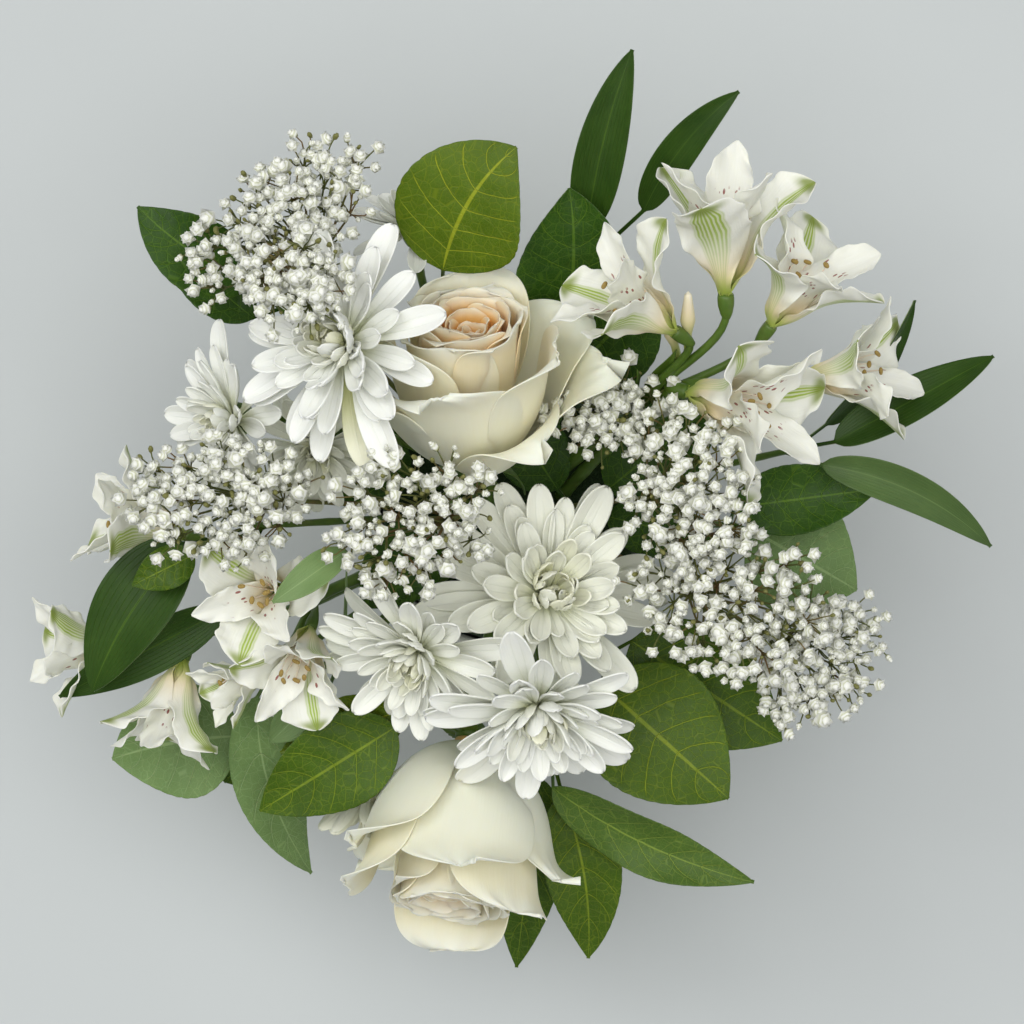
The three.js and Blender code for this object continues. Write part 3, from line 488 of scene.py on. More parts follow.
def surface_place(tree):
    """The place of a point on a blade laid flat, in metres, from the blade's own UV map."""
    return wire(tree, "ShaderNodeUVMap", {"uv_map": "surface"}).outputs[0]


def outline(s, rise, fall):
    """Half-width of a blade at s, from root 0 to tip 1, as a share of its greatest."""
    widest = rise / (rise + fall)
    return (s / widest) ** rise * ((1 - s) / (1 - widest)) ** fall


def rows(count, ease=2.2):
    """Rows from root to tip, closer together towards the tip."""
    x = np.linspace(0, 1, count)
    return np.clip(1 - (1 - x) ** ease, 0.004, 0.9985)


def columns(count):
    """Columns from edge to edge, closer together towards both edges."""
    return np.sin(np.linspace(-1, 1, count) * math.pi / 2)


def shell(grid, thick, carried, number=0):
    """A thin closed body round a grid of points, whose upper side faces across x along."""
    n, m = grid.shape[:2]
    normal = np.cross(np.gradient(grid, axis=1), np.gradient(grid, axis=0))
    size = np.linalg.norm(normal, axis=2, keepdims=True)
    normal = normal / np.maximum(size, 1e-9)
    half = np.full((n, m), thick / 2)
    half[[0, -1], :] *= 0.5
    half[:, [0, -1]] *= 0.5
    lift = normal * half[:, :, None]
    points = np.concatenate([(grid + lift).reshape(-1, 3), (grid - lift).reshape(-1, 3)])
    i = np.arange(n * m).reshape(n, m)
    a, b, c, d = i[:-1, :-1].ravel(), i[:-1, 1:].ravel(), i[1:, 1:].ravel(), i[1:, :-1].ravel()
    low = n * m
    faces = [np.stack([a, b, c, d], 1), np.stack([a, d, c, b], 1) + low]
    for edge in (i[:, -1], i[::-1, 0], i[-1, ::-1], i[0, :]):
        faces.append(np.stack([edge[:-1], edge[:-1] + low, edge[1:] + low, edge[1:]], 1))
    values = {"under": np.repeat([0.0, 1.0], low)}
    for key, value in carried.items():
        value = np.asarray(value, float)
        values[key] = np.tile(value.reshape(-1), 2) if value.ndim else float(value)
    if "flat" in carried:
        values["flat"] = np.tile(carried["flat"].reshape(-1, 2) * MM, (2, 1))
    return points, np.concatenate(faces), values, number


def radial_grid(seat, axis, turn, s, q, track, reach, wrap=None, lift=0.0):
    """A petal's points: its track is (distance from the axis, height on it) from root to rim, and its
    section is `reach` wide at each row and curls up round the radius `wrap`."""
    out = upright_to(axis) @ np.array((math.cos(turn), math.sin(turn), 0))
    across = np.cross(out, axis)
    r, z = track
    lean = np.arctan2(np.gradient(r), np.gradient(z))
    at = np.asarray(seat) + np.outer(r, out) + np.outer(z, axis)
    up = np.outer(-np.cos(lean), out) + np.outer(np.sin(lean), axis)
    side = reach[:, None] * q[None, :]
    radius = np.full(len(s), 1e5) if wrap is None else wrap
    arc = np.clip(side / radius[:, None], -2.8, 2.8)
    flat_side, rise = radius[:, None] * np.sin(arc), radius[:, None] * (1 - np.cos(arc)) + lift
    return at[:, None] + flat_side[:, :, None] * across + rise[:, :, None] * up[:, None]


def lean_track(s, leans, length, root, rise):
    """The track of a petal whose angle from the axis runs through `leans` from root to tip."""
    steps, reach = 120, 8
    fine = np.linspace(0, 1, steps + 1)
    knots = np.linspace(0, 1, len(leans))
    lean = np.radians(np.interp(fine, knots, leans))
    lean = np.convolve(np.pad(lean, reach, "edge"), np.ones(2 * reach + 1) / (2 * reach + 1), "valid")
    middle = (lean[1:] + lean[:-1]) / 2
    r = root + np.concatenate([[0], np.cumsum(np.sin(middle))]) * length / steps
    z = rise + np.concatenate([[0], np.cumsum(np.cos(middle))]) * length / steps
    return np.interp(s, fine, r), np.interp(s, fine, z)


def blade_values(s, q, reach=None, length=None):
    """What a blade's points carry: how far along and across, and their place with the blade laid flat."""
    values = {"along": np.repeat(s, len(q)), "across": np.tile(q, len(s))}
    if reach is not None:
        values["flat"] = np.stack([np.outer(reach, q), np.outer(s * length, q ** 0)], -1)
    return values


rose_petal, tree, shader = finish_of(
    "rose_petal", Subsurface_Weight=0.3, Subsurface_Scale=0.004, Subsurface_Radius=(1.0, 0.7, 0.4),
    Sheen_Weight=0.12, Sheen_Roughness=0.5, Specular_IOR_Level=0.35,
)
along, heart = attribute(tree, "along"), attribute(tree, "kind")
surface = surface_place(tree)
veins = noise(tree, surface, 60.0, 4.0, (14, 1.2, 1), 0.3)
bruise = noise(tree, solid_place(tree), 55.0, 3.0)
cream = blend(tree, veins, ROSE_CREAM, ROSE_LIGHT)
# The top of each petal is painted paler towards its rim: a painted highlight.
cream = blend(tree, ramp(tree, along, 0.86, 1.0, 0.0, 0.75), cream, ROSE_RIM_HIGHLIGHT)
cream = blend(tree, ramp(tree, along, 0.40, 0.0), cream, ROSE_CLAW)
cream = blend(tree, times(tree, attribute(tree, "tone"), 0.55), cream, ROSE_GUARD)
# The inner petals turn peach below their lips: partly the heart's own peach, partly painted shade down in the
# crevices between them.
peach_and_crevice_shade = times(tree, ramp(tree, heart, 0.02, 0.65), ramp(tree, along, 1.0, 0.92, 0.30, 1.0))
cream = blend(tree, peach_and_crevice_shade, cream, ROSE_PEACH_AND_SHADE)
cream = blend(tree, ramp(tree, bruise, 0.62, 0.8, 0.0, 0.22), cream, ROSE_BRUISE)
dress(tree, shader, cream, ramp(tree, veins, 0.2, 0.8, 0.44, 0.62), veins, 0.00018, 0.5)

# Each rose has its seat, the azimuth and tilt it faces, and its outer petals from the inside out:
# (turn, length, half-width, angles from the axis from root to tip).
ROSES = {
    "rose_1": ((-17, 20, 180), 91, 54, [
        (90, 82, 30, (58, 23, 6, 9)), (205, 82, 30, (64, 28, 8, 12)), (330, 82, 30, (70, 32, 9, 12)),
        (255, 80, 32, (76, 36, 14, 24)), (25, 80, 28, (74, 36, 16, 28)), (200, 72, 26, (80, 42, 26, 50)),
        (352, 80, 23, (80, 38, 26, 44)), (305, 66, 27, (84, 48, 24, 60)),
    ]),
    "rose_2": ((-18, -100, 146), 261, 67, [
        (270, 91, 30, (58, 23, 6, 9)), (30, 90, 30, (64, 28, 8, 12)), (150, 90, 30, (70, 32, 9, 12)),
        (265, 86, 30, (76, 35, 10, 16)), (75, 86, 34, (76, 37, 12, 16)), (135, 82, 31, (80, 42, 14, 22)),
        (10, 80, 27, (82, 44, 12, 17)), (218, 74, 25, (84, 46, 18, 30)),
    ]),
}
HEART_PETALS = 21
for salt, (name, (seat, azimuth, tilt, guards)) in enumerate(ROSES.items()):
    axis, heart_peach_and_shade = facing(azimuth, tilt), 1.0 - 0.6 * salt
    chance = np.random.default_rng(40 + salt)
    s, q = rows(30), columns(25)
    down, over = s[:, None], q[None, :]
    parts = []
    for k in range(HEART_PETALS):
        t = k / (HEART_PETALS - 1)
        rim, height = 2.2 + 24.0 * t ** 0.9, 66 + 10 * math.sin(math.pi * t * 0.75) + chance.uniform(-1, 1)
        rolled = 3.0 * t * np.clip((s - 0.86) / 0.14, 0, 1) ** 2
        r = 2 + (rim - 2) * (1 - (1 - s) ** 2.0) * (1 - 0.14 * s ** 3) + rolled
        reach = min(rim * 1.75, 9 + 19 * t) * outline(s, 0.7, 0.2)
        lift = -(1.2 + 2.6 * t) * over * down - (0.6 + 1.6 * t) * (over ** 4) * down ** 6
        lift = lift + 0.7 * np.sin(4 * over + 3 * k) * down ** 8
        track, wrap = (r, 4 + (height - 4) * s), np.maximum(r * 1.04, 2)
        grid = radial_grid(seat, axis, 2.4 * k + salt, s, q, track, reach, wrap, lift)
        carried = blade_values(s, q, reach, height) | {"kind": heart_peach_and_shade * max(0.0, 1 - 0.9 * t)}
        parts.append(shell(grid, 0.55, carried))
    s, q = rows(36), columns(31)
    down, over = s[:, None], q[None, :]
    for k, (turn, length, width, leans) in enumerate(guards):
        r, z = lean_track(s, leans, length, 3, 3.0 - 0.3 * k)
        reach = width * outline(s, 0.9, 0.26 + 0.05 * k)
        rim = np.clip((s - 0.8) / 0.2, 0, 1)[:, None]
        roll = -(0.75 + 0.1 * k) * 4.4 * rim ** 1.7 * (0.75 + 0.45 * over ** 2)
        ruffle = 0.9 * np.sin(4.5 * over + 2.1 * k) * down ** 5 + 0.35 * np.sin(13 * over + k) * rim
        lift = roll + ruffle - 5 * over * down
        wrap = np.maximum(r * 1.05, 3)
        grid = radial_grid(seat, axis, math.radians(turn), s, q, (r, z), reach, wrap, lift)
        carried = blade_values(s, q, reach, length) | {"tone": min(1.0, 0.25 * k)}
        parts.append(shell(grid, 0.6, carried))
    core, faces = turned([(0, 0.3), (7, 0.3), (9, 6), (8, 22), (4, 40), (0, 42)], 24, seat, axis)
    parts.append((core, faces, {"along": 0.3, "kind": 1.0}, 0))
    bloom = new_piece(name + "_petals", parts, [rose_petal])
    place_piece(bloom, "rose_petal", name + "_bloom")

    line = stem_line(np.array(seat) - 6 * axis, axis)
    stem = add_stalks(name + "_cane", [(line, swollen(line, 2.9), 0, axis)], 16)
    place_piece(stem, "green_stem", name + "_stem")
    hip = turned([(0, -10), (3, -9.4), (6.4, -6), (7.3, -2.4), (7.0, 0), (0, 0)], 24, seat, axis)
    parts = [(*hip, {"along": 0.5}, 0)]
    s, q = rows(20, 1.4), columns(9)
    track = lean_track(s, SEPAL_LEANS, SEPAL_LENGTH, 4, -2.2)
    reach = SEPAL_WIDTH * outline(s, 0.4, 0.9) * (1 + 0.12 * np.sin(40 * s))
    keel = 0.25 * reach[:, None] * q[None, :] ** 2
    for k in range(5):
        sepal = radial_grid(seat, axis, math.radians(72 * k + 20), s, q, track, reach, None, keel)
        parts.append(shell(sepal, 0.7, blade_values(s, q)))
    calyx = new_piece(name + "_calyx", parts, [stem_finish])
    place_piece(calyx, "green_stem")

# ------------------------------------------------------------------------------------------------
# Chrysanthemums: eight spray heads, each of 56 to 90 ray florets round a tight button. A floret is a
# grooved strap that widens to a spoon, at the golden angle from the last one. It opens from incurved
# at the button to flat at the rim. A tree of nodes sets the florets round a head.
STAGES, NECK, OPENING, SWAY = 9, 12, 1.25, 0.16
MUM_SHADE, MUM_WHITE = (0.87, 0.885, 0.81), (0.93, 0.94, 0.89)
MUM_GREEN_AND_SHADE, MUM_YELLOW, MUM_CLAW_SHADE = (0.58, 0.60, 0.16), (0.89, 0.88, 0.66), (0.64, 0.68, 0.34)
MUM_CREAM_AND_SHADE, MUM_CREASE_SHADE = (0.76, 0.765, 0.58), (0.66, 0.70, 0.56)
mum_petal, tree, shader = finish_of(
    "mum_petal", Subsurface_Weight=0.25, Subsurface_Scale=0.002, Subsurface_Radius=(1.0, 0.95, 0.75),
    Specular_IOR_Level=0.4, Sheen_Weight=0.08,
)
along, age, cream = attribute(tree, "along"), attribute(tree, "age"), attribute(tree, "cream")
surface = surface_place(tree)
groove = noise(tree, surface, 14.0, 3.0, (9, 0.35, 1))
off = maths(tree, "ABSOLUTE", attribute(tree, "across"))
fold = maths(tree, "ABSOLUTE", maths(tree, "SUBTRACT", off, 0.30))
crease = times(tree, ramp(tree, fold, 0.11, 0.0), ramp(tree, along, 0.97, 0.7))
white = blend(tree, groove, MUM_SHADE, MUM_WHITE)
# The inner florets run from green at the base to yellow at the tip: partly the button's own green-yellow,
# partly painted shade deep in the head.
young_and_shaded = blend(tree, ramp(tree, along, 0.1, 0.9), MUM_GREEN_AND_SHADE, MUM_YELLOW)
white = blend(tree, ramp(tree, age, 0.42, 0.0, 0.0, 0.9), white, young_and_shaded)
# The lower part of every floret is painted greener: painted shade under the florets above it.
white = blend(tree, ramp(tree, along, 0.60, 0.0, 0.0, 0.75), white, MUM_CLAW_SHADE)
# Each head's share of cream tints it darker and yellower: partly a real cream tint, partly painted shade on
# the heads lying lower in the arrangement.
white = blend(tree, times(tree, cream, 0.75), white, MUM_CREAM_AND_SHADE)
# The two creases along each floret are painted darker: painted shade in the grooves.
white = blend(tree, times(tree, crease, 0.12), white, MUM_CREASE_SHADE)
relief = maths(tree, "SUBTRACT", times(tree, groove, 0.5), crease)
dress(tree, shader, white, ramp(tree, groove, 0.2, 0.8, 0.42, 0.6), relief, 0.0003, 0.6)


def set_aside(group, made):
    """Moves a pattern piece out of the scene into the group that a tree of nodes picks from."""
    group.objects.link(made)
    bpy.context.scene.collection.objects.unlink(made)


florets = bpy.data.collections.new("ray_florets")
s, q = rows(17, 1.7), columns(11)
down, over = s[:, None], q[None, :]
for stage in range(STAGES):
    t = stage / (STAGES - 1)
    opened = t ** 0.72
    leans = [30 + 54 * opened, 6 + 86 * opened, -58 + 154 * opened]
    length, width = 0.24 + 0.68 * t ** 0.85, 0.036 + 0.076 * t ** 0.62
    r, z = lean_track(s, leans, length, 0.04, 0.17 - 0.10 * t)
    reach = np.maximum(width * outline(s, 1.35 - 0.4 * (1 - t), 0.5), 0.3 * width * (s < 0.8))
    ridges = 0.006 * np.cos(3.3 * math.pi * over) * np.sin(math.pi * down)
    lift = (0.85 - 0.45 * down) * reach[:, None] * over ** 2 + ridges
    grid = radial_grid((0, 0, 0), np.array((0, 0, 1.0)), 0.0, s, q, (r, z), reach, None, lift)
    notch = 0.008 * (np.cos(4 * math.pi * over) - 1) * np.clip((down - 0.9) / 0.1, 0, 1) ** 2
    grid[:, :, 0] += notch * math.sin(math.radians(leans[-1]))
    ray = shell(grid / MM, 0.015 / MM, blade_values(s, q, reach / MM, 1 / MM))
    set_aside(florets, new_piece(f"ray_{stage}", [ray], [mum_petal]))


def head_nodes():
    """The tree that sets ray florets round a head, from the button out."""
    inputs = [("Florets", "Collection"), ("Count", "Int"), ("Stages", "Int"), ("Reach", "Float")]
    inputs += [("Opened", "Float"), ("Cream", "Float"), ("Turn", "Float"), ("Seed", "Int")]
    tree, given = new_tree("flower_head", inputs + [("Finish", "Material")], "Head")

    def chance(low, high, draw):
        """A random number for each floret, with a seed of its own for each draw."""
        return random_size(tree, low, high, maths(tree, "ADD", given["Seed"], float(draw)))

    line = step(tree, "GeometryNodeMeshLine", {"Count": given["Count"], "Offset": (0, 0, 0)})
    index = tree.nodes.new("GeometryNodeInputIndex").outputs[0]
    age = maths(tree, "DIVIDE", index, maths(tree, "SUBTRACT", given["Count"], 1.0))
    line = stored(tree, stored(tree, line, "age", age), "cream", given["Cream"])
    opened = times(tree, maths(tree, "POWER", age, OPENING), given["Opened"])
    stage = times(tree, opened, maths(tree, "SUBTRACT", given["Stages"], 1.0))
    stage = maths(tree, "ROUND", maths(tree, "ADD", stage, chance(-0.9, 0.9, 1)))
    spin = maths(tree, "ADD", times(tree, index, GOLDEN_ANGLE), given["Turn"])
    spin = maths(tree, "ADD", spin, chance(-SWAY, SWAY, 2))
    sway = {0: chance(-SWAY, SWAY, 3), 1: chance(-SWAY, SWAY, 4), 2: spin}
    turn = step(tree, "FunctionNodeEulerToRotation", {0: step(tree, "ShaderNodeCombineXYZ", sway)})
    size = times(tree, given["Reach"], chance(0.80, 1.12, 5))
    rays = step(tree, "GeometryNodeCollectionInfo", {0: given["Florets"], 1: True, 2: True})
    inputs = {0: line, 2: rays, 3: True, 4: stage, 5: turn, 6: size}
    head = step(tree, "GeometryNodeInstanceOnPoints", inputs)
    head = step(tree, "GeometryNodeRealizeInstances", {0: head})
    head = step(tree, "GeometryNodeSetMaterial", {0: head, 2: given["Finish"]})
    tree.links.new(head, wire(tree, "NodeGroupOutput").inputs[0])
    return tree


# Each head: name, centre, azimuth and tilt it faces, reach of its florets, their number, how far it
# has opened, its share of cream (partly painted shade on lower heads), and the route of its stem.
MUMS = [
    ("mum_1", (-72, 70, 236), 168, 30, 56, 84, 1, 0.0, 0),
    ("mum_2", (-124, 38, 192), 190, 52, 42, 64, 1, 0.1, 0),
    ("mum_3", (16, -34, 204), 40, 18, 60, 90, 1, 0.5, 0),
    ("mum_4", (11, -85, 228), 276, 46, 53, 80, 1, 0.1, 0),
    ("mum_5", (-42, -62, 220), 234, 42, 47, 80, 1, 0.3, 0),
    ("mum_6", (-40, 128, 184), 88, 54, 36, 60, 1, 0.2, 0),
    ("mum_7", (-66, -127, 138), 244, 98, 46, 60, 0.55, 1.0, 0),
    ("mum_8", (-84, 24, 186), 262, 24, 38, 56, 1, 0.5, 8),
]
MUM_CUP = [(0, -7), (2.4, -6.6), (5.4, -3.4), (6.8, -0.4), (7.4, 1.8), (6.4, 2.6), (0, 2.6)]
flower_head = head_nodes()
for number, (name, centre, azimuth, tilt, reach, count, opened, cream, route) in enumerate(MUMS):
    axis = facing(azimuth, tilt)
    seat = np.array(centre) - NECK * axis
    values = {"Florets": florets, "Count": count, "Stages": STAGES, "Reach": reach * MM}
    values |= {"Opened": float(opened), "Cream": cream, "Turn": float(number), "Seed": number}
    values["Finish"] = mum_petal
    head = grown(name + "_florets", flower_head, values, bpy.data.meshes.new("button"))
    up = Vector((0, 0, 1)).rotation_difference(Vector(axis)).to_matrix().to_4x4()
    up.translation = Vector(seat * MM)
    head.data.transform(up)
    place_piece(head, "mum_petal", name + "_head")
    line = stem_line(seat - 5 * axis, axis, route)
    stem = add_stalks(name + "_cane", [(line, swollen(line, 2.1), 0, axis)], 12)
    place_piece(stem, "green_stem", name + "_stem")
    cup = (*turned(MUM_CUP, 20, seat, axis), {"along": 0.5}, 0)
    place_piece(new_piece(name + "_cup", [cup], [stem_finish]), "green_stem")

# ------------------------------------------------------------------------------------------------
# Alstroemeria: umbels of white lilies on four stems. Three broad outer tepals have a green rib and
# tip, and three narrow inner ones are streaked red-brown over a yellow throat. Six bowed stamens and
# a ribbed green ovary sit in the middle of each.
LILY_SHADE, LILY_WHITE, LILY_THROAT = (0.84, 0.84, 0.72), (0.90, 0.90, 0.81), (0.88, 0.66, 0.34)
LILY_CLAW, LILY_RIB, LILY_TIP = (0.34, 0.44, 0.05), (0.30, 0.43, 0.015), (0.19, 0.26, 0.01)
LILY_DASH = (0.26, 0.035, 0.025)
POLLEN_DARK, POLLEN_LIGHT = (0.22, 0.13, 0.03), (0.55, 0.40, 0.12)
FILAMENT_PINK, FILAMENT_PALE = (0.80, 0.66, 0.52), (0.86, 0.82, 0.70)
lily_petal, tree, shader = finish_of(
    "lily_petal", Subsurface_Weight=0.25, Subsurface_Scale=0.002, Subsurface_Radius=(1.0, 0.9, 0.6),
    Specular_IOR_Level=0.45, Sheen_Weight=0.1,
)
along, across, inner = attribute(tree, "along"), attribute(tree, "across"), attribute(tree, "kind")
under = attribute(tree, "under")
surface = surface_place(tree)
nerve = noise(tree, surface, 300.0, 3.0, (5, 0.25, 1), 0.2)
outer = maths(tree, "SUBTRACT", 1.0, inner)
petal = blend(tree, nerve, LILY_SHADE, LILY_WHITE)
petal = blend(tree, ramp(tree, along, 0.55, 0.15, 0.0, 0.7), petal, LILY_THROAT)
petal = blend(tree, ramp(tree, along, 0.30, 0.04, 0.0, 0.95), petal, LILY_CLAW)
off = maths(tree, "ABSOLUTE", across)
lines = ramp(tree, maths(tree, "COSINE", times(tree, across, 55.0)), -0.6, 0.5, 0.45, 1.0)
past_band = maths(tree, "SUBTRACT", off, ramp(tree, under, 0, 1, 0.30, 0.52))
rib = times(tree, ramp(tree, past_band, 0.0, -0.16), ramp(tree, along, 0.30, 0.75, 0.4, 1.0), lines, outer)
petal = blend(tree, times(tree, rib, 0.95), petal, LILY_RIB)
tip = times(tree, ramp(tree, along, 0.86, 0.95), ramp(tree, off, 1.0, 0.5), outer)
petal = blend(tree, times(tree, tip, 0.85), petal, LILY_TIP)
marks = step(tree, "ShaderNodeMapping", {"Vector": surface, "Scale": (620, 215, 1)})
marks = step(tree, "ShaderNodeTexVoronoi", {"Vector": marks, "Scale": 1.0, "Randomness": 0.75})
dash = ramp(tree, marks, 0.31, 0.25)
zone = times(tree, ramp(tree, along, 0.34, 0.38), ramp(tree, along, 0.70, 0.64), ramp(tree, off, 0.80, 0.72))
streaks = times(tree, dash, zone, ramp(tree, inner, 0, 1, 0.04, 1.0))
petal = blend(tree, times(tree, streaks, 0.9), petal, LILY_DASH)
dress(tree, shader, petal, ramp(tree, nerve, 0.2, 0.8, 0.4, 0.58), nerve, 0.0002, 0.6)

anther_finish, tree, shader = finish_of("pollen", Roughness=0.85)
grains = noise(tree, solid_place(tree), 2600.0, 2.0)
dress(tree, shader, blend(tree, grains, POLLEN_DARK, POLLEN_LIGHT), None, grains, 0.0003, 1.0)
filament, tree, shader = finish_of("filament", Roughness=0.45, Subsurface_Weight=0.2, Subsurface_Scale=0.001)
pale = noise(tree, solid_place(tree), 150.0)
dress(tree, shader, blend(tree, pale, FILAMENT_PINK, FILAMENT_PALE), None, pale, 0.0001, 0.3)
anthers = bpy.data.collections.new("anthers")
BEAN = [(0, -1.9), (0.62, -1.5), (0.86, -0.5), (0.86, 0.6), (0.6, 1.5), (0, 1.9)]
for k in range(6):
    points, faces = turned([(r * (1 + 0.05 * k), h) for r, h in BEAN], 8)
    points = points[:, [2, 1, 0]] + np.array((0.5, 0, 0))
    bean = (points, [face[::-1] for face in faces], {}, 0)
    set_aside(anthers, new_piece(f"anther_{k}", [bean], [anther_finish]))

SMALLEST_BLOOM, BUD_SIZE, BRACTS, TEPALS, STAMENS = 0.5, 0.4, 5, 6, 6
BROAD_LEANS, NARROW_LEANS = ((40, 18, 34, 12), (0, 0, 20, 62)), ((10, 14, 26, 12), (0, 0, 20, 46))


def ovary_profile(size):
    """The outline of a green ovary under an open bloom, or of a whole closed bud where it is small."""
    swell = 3 * size + 0.6
    if size > SMALLEST_BLOOM:
        belly = [(swell * 0.62, -9), (swell * 0.84, -5), (swell * 0.86, -2), (swell * 0.8, 0)]
        shape = [(0, -12), (1.3, -11.5)] + belly + [(0, 0.4)]
    else:
        belly = [(swell, -5), (swell * 0.95, 0), (swell + 1.4, 7), (swell + 0.6, 14)]
        shape = [(0, -10.5), (1.2, -10)] + belly + [(1.4, 21), (0, 22)]
    radii, heights = zip(*shape)
    between = np.linspace(heights[0], heights[-1], 16)[1:-1]
    fine = [(float(np.interp(h, heights, radii)), float(h)) for h in between]
    return [(0, heights[0])] + fine + [(0, heights[-1])]


# Each stem: name, where its umbel forks, the azimuth and tilt it rises at, its route, its blooms as
# (seat, azimuth, tilt, size, how far opened), and its buds as (seat, azimuth, tilt).
ALSTROEMERIAS = [
    ("alstroemeria_1", (56, 47, 188), (40, 28), 0,
     [((88, 90, 225), 94, 66, 1.16, 0.75), ((67, 75, 220), 146, 62, 1.0, 0.95),
      ((108, 78, 213), 54, 60, 1.0, 0.85)],
     [((73, 74, 214), 92, 50), ((68, 70, 205), 110, 40)]),
    ("alstroemeria_2", (58, 36, 176), (20, 34), 5,
     [((74, 50, 204), -16, 60, 1.14, 1.0), ((124, 56, 188), 6, 66, 0.98, 0.9)], []),
    ("alstroemeria_3", (-88, -38, 150), (205, 40), 0,
     [((-99, -33, 184), 200, 14, 0.88, 1.15), ((-86, -50, 182), 256, 44, 0.86, 0.9),
      ((-106, -66, 172), 212, 70, 0.62, 0.4)], []),
    ("alstroemeria_4", (-116, -50, 128), (195, 52), 0,
     [((-142, -64, 162), 254, 81, 0.92, 1.05), ((-168, -58, 152), 184, 78, 0.84, 0.85),
      ((-141, -10, 168), 162, 74, 0.92, 0.85)], []),
]
s, q = rows(46, 1.6), columns(17)
down, over = s[:, None], q[None, :]
for name, umbel, (azimuth, tilt), route, blooms, buds in ALSTROEMERIAS:
    chance = np.random.default_rng(len(name) + round(abs(umbel[0])))
    fork = np.array(umbel, float)
    line = stem_line(fork, facing(azimuth, tilt), route)
    lines = [(line, swollen(line, 2.9), 0, (0, 0, 1))]
    ovaries = []
    for k, (at, turn, bend, size, _) in enumerate(blooms + [(*bud, BUD_SIZE, 0) for bud in buds]):
        axis, seat = facing(turn, bend), np.array(at, float)
        start = line[-1 - k]
        far = np.linalg.norm(seat - start)
        rising = start + 0.3 * (seat - start) + (0, 0, 0.08 * far)
        path = bezier((start, rising, seat - axis * 0.35 * far, seat - 8 * axis), 12)
        lines.append((path, np.linspace(2.0, 1.6, len(path)), 0, axis))
        points, faces = turned(ovary_profile(size), 18, seat, axis)
        ripe = np.interp((points - seat) @ axis, (-9, 24), (0.03, 0.40))
        carried = {"along": ripe, "tone": size, "kind": 1.0}
        ovaries.append((points, faces, carried, 0 if size > SMALLEST_BLOOM else 1))
    for k in range(BRACTS if buds else 0):
        row, column = rows(18, 1.3), columns(7)
        track = lean_track(row, (34, 20, 12, 34), 34 - 3 * k, 2.2, 0.0)
        reach = 3.6 * outline(row, 0.6, 1.1)
        keel = 0.3 * reach[:, None] * column[None, :] ** 2
        joint, way = line[-1 - 2 * (k // 2)], facing(azimuth, tilt)
        bract = radial_grid(joint, way, 1.3 * k, row, column, track, reach, None, keel)
        ovaries.append(shell(bract, 0.6, blade_values(row, column)))
    stem = add_stalks(name + "_cane", lines, 12)
    place_piece(stem, "green_stem", name + "_stem")
    place_piece(new_piece(name + "_ovaries", ovaries, [stem_finish, lily_petal]), "green_stem")
    for number, (at, turn, bend, size, opened) in enumerate(blooms):
        axis, seat = facing(turn, bend), np.array(at, float)
        parts = []
        for k in range(TEPALS):
            broad = k % 2 == 0
            length, width = (52, 10 + 3.4 * opened) if broad else (57, 7.8)
            length, width = length * size, width * size * chance.uniform(0.92, 1.08)
            closed, opening = BROAD_LEANS if broad else NARROW_LEANS
            leans = np.array(closed) + opened * np.array(opening)
            leans = leans + chance.uniform(-8, 8) * np.array((0.3, 0.5, 1, 2))
            track = lean_track(s, leans, length, 0.8, -1.0)
            claw = size * (2.7 if broad else 2.2) * (1 - s) ** 1.2
            rise, fall = (1.5, 0.66) if broad else (1.2, 0.8)
            reach = np.hypot(width * outline(s, rise, fall), claw * (s < 0.99))
            crinkle = 0.06 * np.sin(27 * s + k) + 0.035 * np.sin(61 * s + 2 * k)
            reach = reach * (1 + crinkle * np.clip(2.5 * s - 1, 0, 1))
            wave = np.sin(2 * math.pi * (1.6 * down + 0.2 * k) + 1.4 * np.sign(over))
            ruffle = np.sin(29 * down + 5 * over + k)
            lift = 0.34 * reach[:, None] * over ** 2
            lift = lift + 3.4 * size * wave * np.abs(over) ** 3 * np.sin(math.pi * down)
            lift = lift + 2.1 * size * ruffle * np.abs(over) ** 2.2 * down * (1 - down ** 6)
            lift = lift + chance.uniform(-0.45, 0.45) * reach[:, None] * over * down
            lift = lift - 0.7 * size * np.exp(-(over * 5) ** 2) * np.sin(math.pi * down)
            turn = math.radians(60 * k + 30 * number + 15)
            tepal = radial_grid(seat, axis, turn, s, q, track, reach, None, lift)
            carried = blade_values(s, q, reach, length) | {"kind": 0.0 if broad else 1.0}
            parts.append(shell(tepal, 0.5, carried | {"tone": chance.random()}))
        bloom = new_piece(f"{name}_lily_{number + 1}", parts, [lily_petal])
        place_piece(bloom, "alstroemeria_petal", f"{name}_bloom_{number + 1}")
        lines = []
        for k in range(STAMENS):
            a = 1.05 * k + 0.4 + chance.uniform(-0.2, 0.2)
            out = upright_to(axis) @ np.array((math.cos(a), math.sin(a), 0))
            tall, wide = size * chance.uniform(26, 35), size * chance.uniform(4, 9)
            foot, end = seat + 5 * axis + 1.4 * out, seat + axis * tall + out * wide
            path = bezier((foot, foot + 12 * axis, end - 9 * axis + 1.5 * out, end), 10)
            lines.append((path, np.linspace(0.42, 0.28, len(path)), 1.0, axis + 0.5 * out))
        stamens = add_stalks(f"{name}_stamens_{number + 1}", lines, 6, filament, anthers, 1.0, number)
        place_piece(stamens, "alstroemeria_petal")

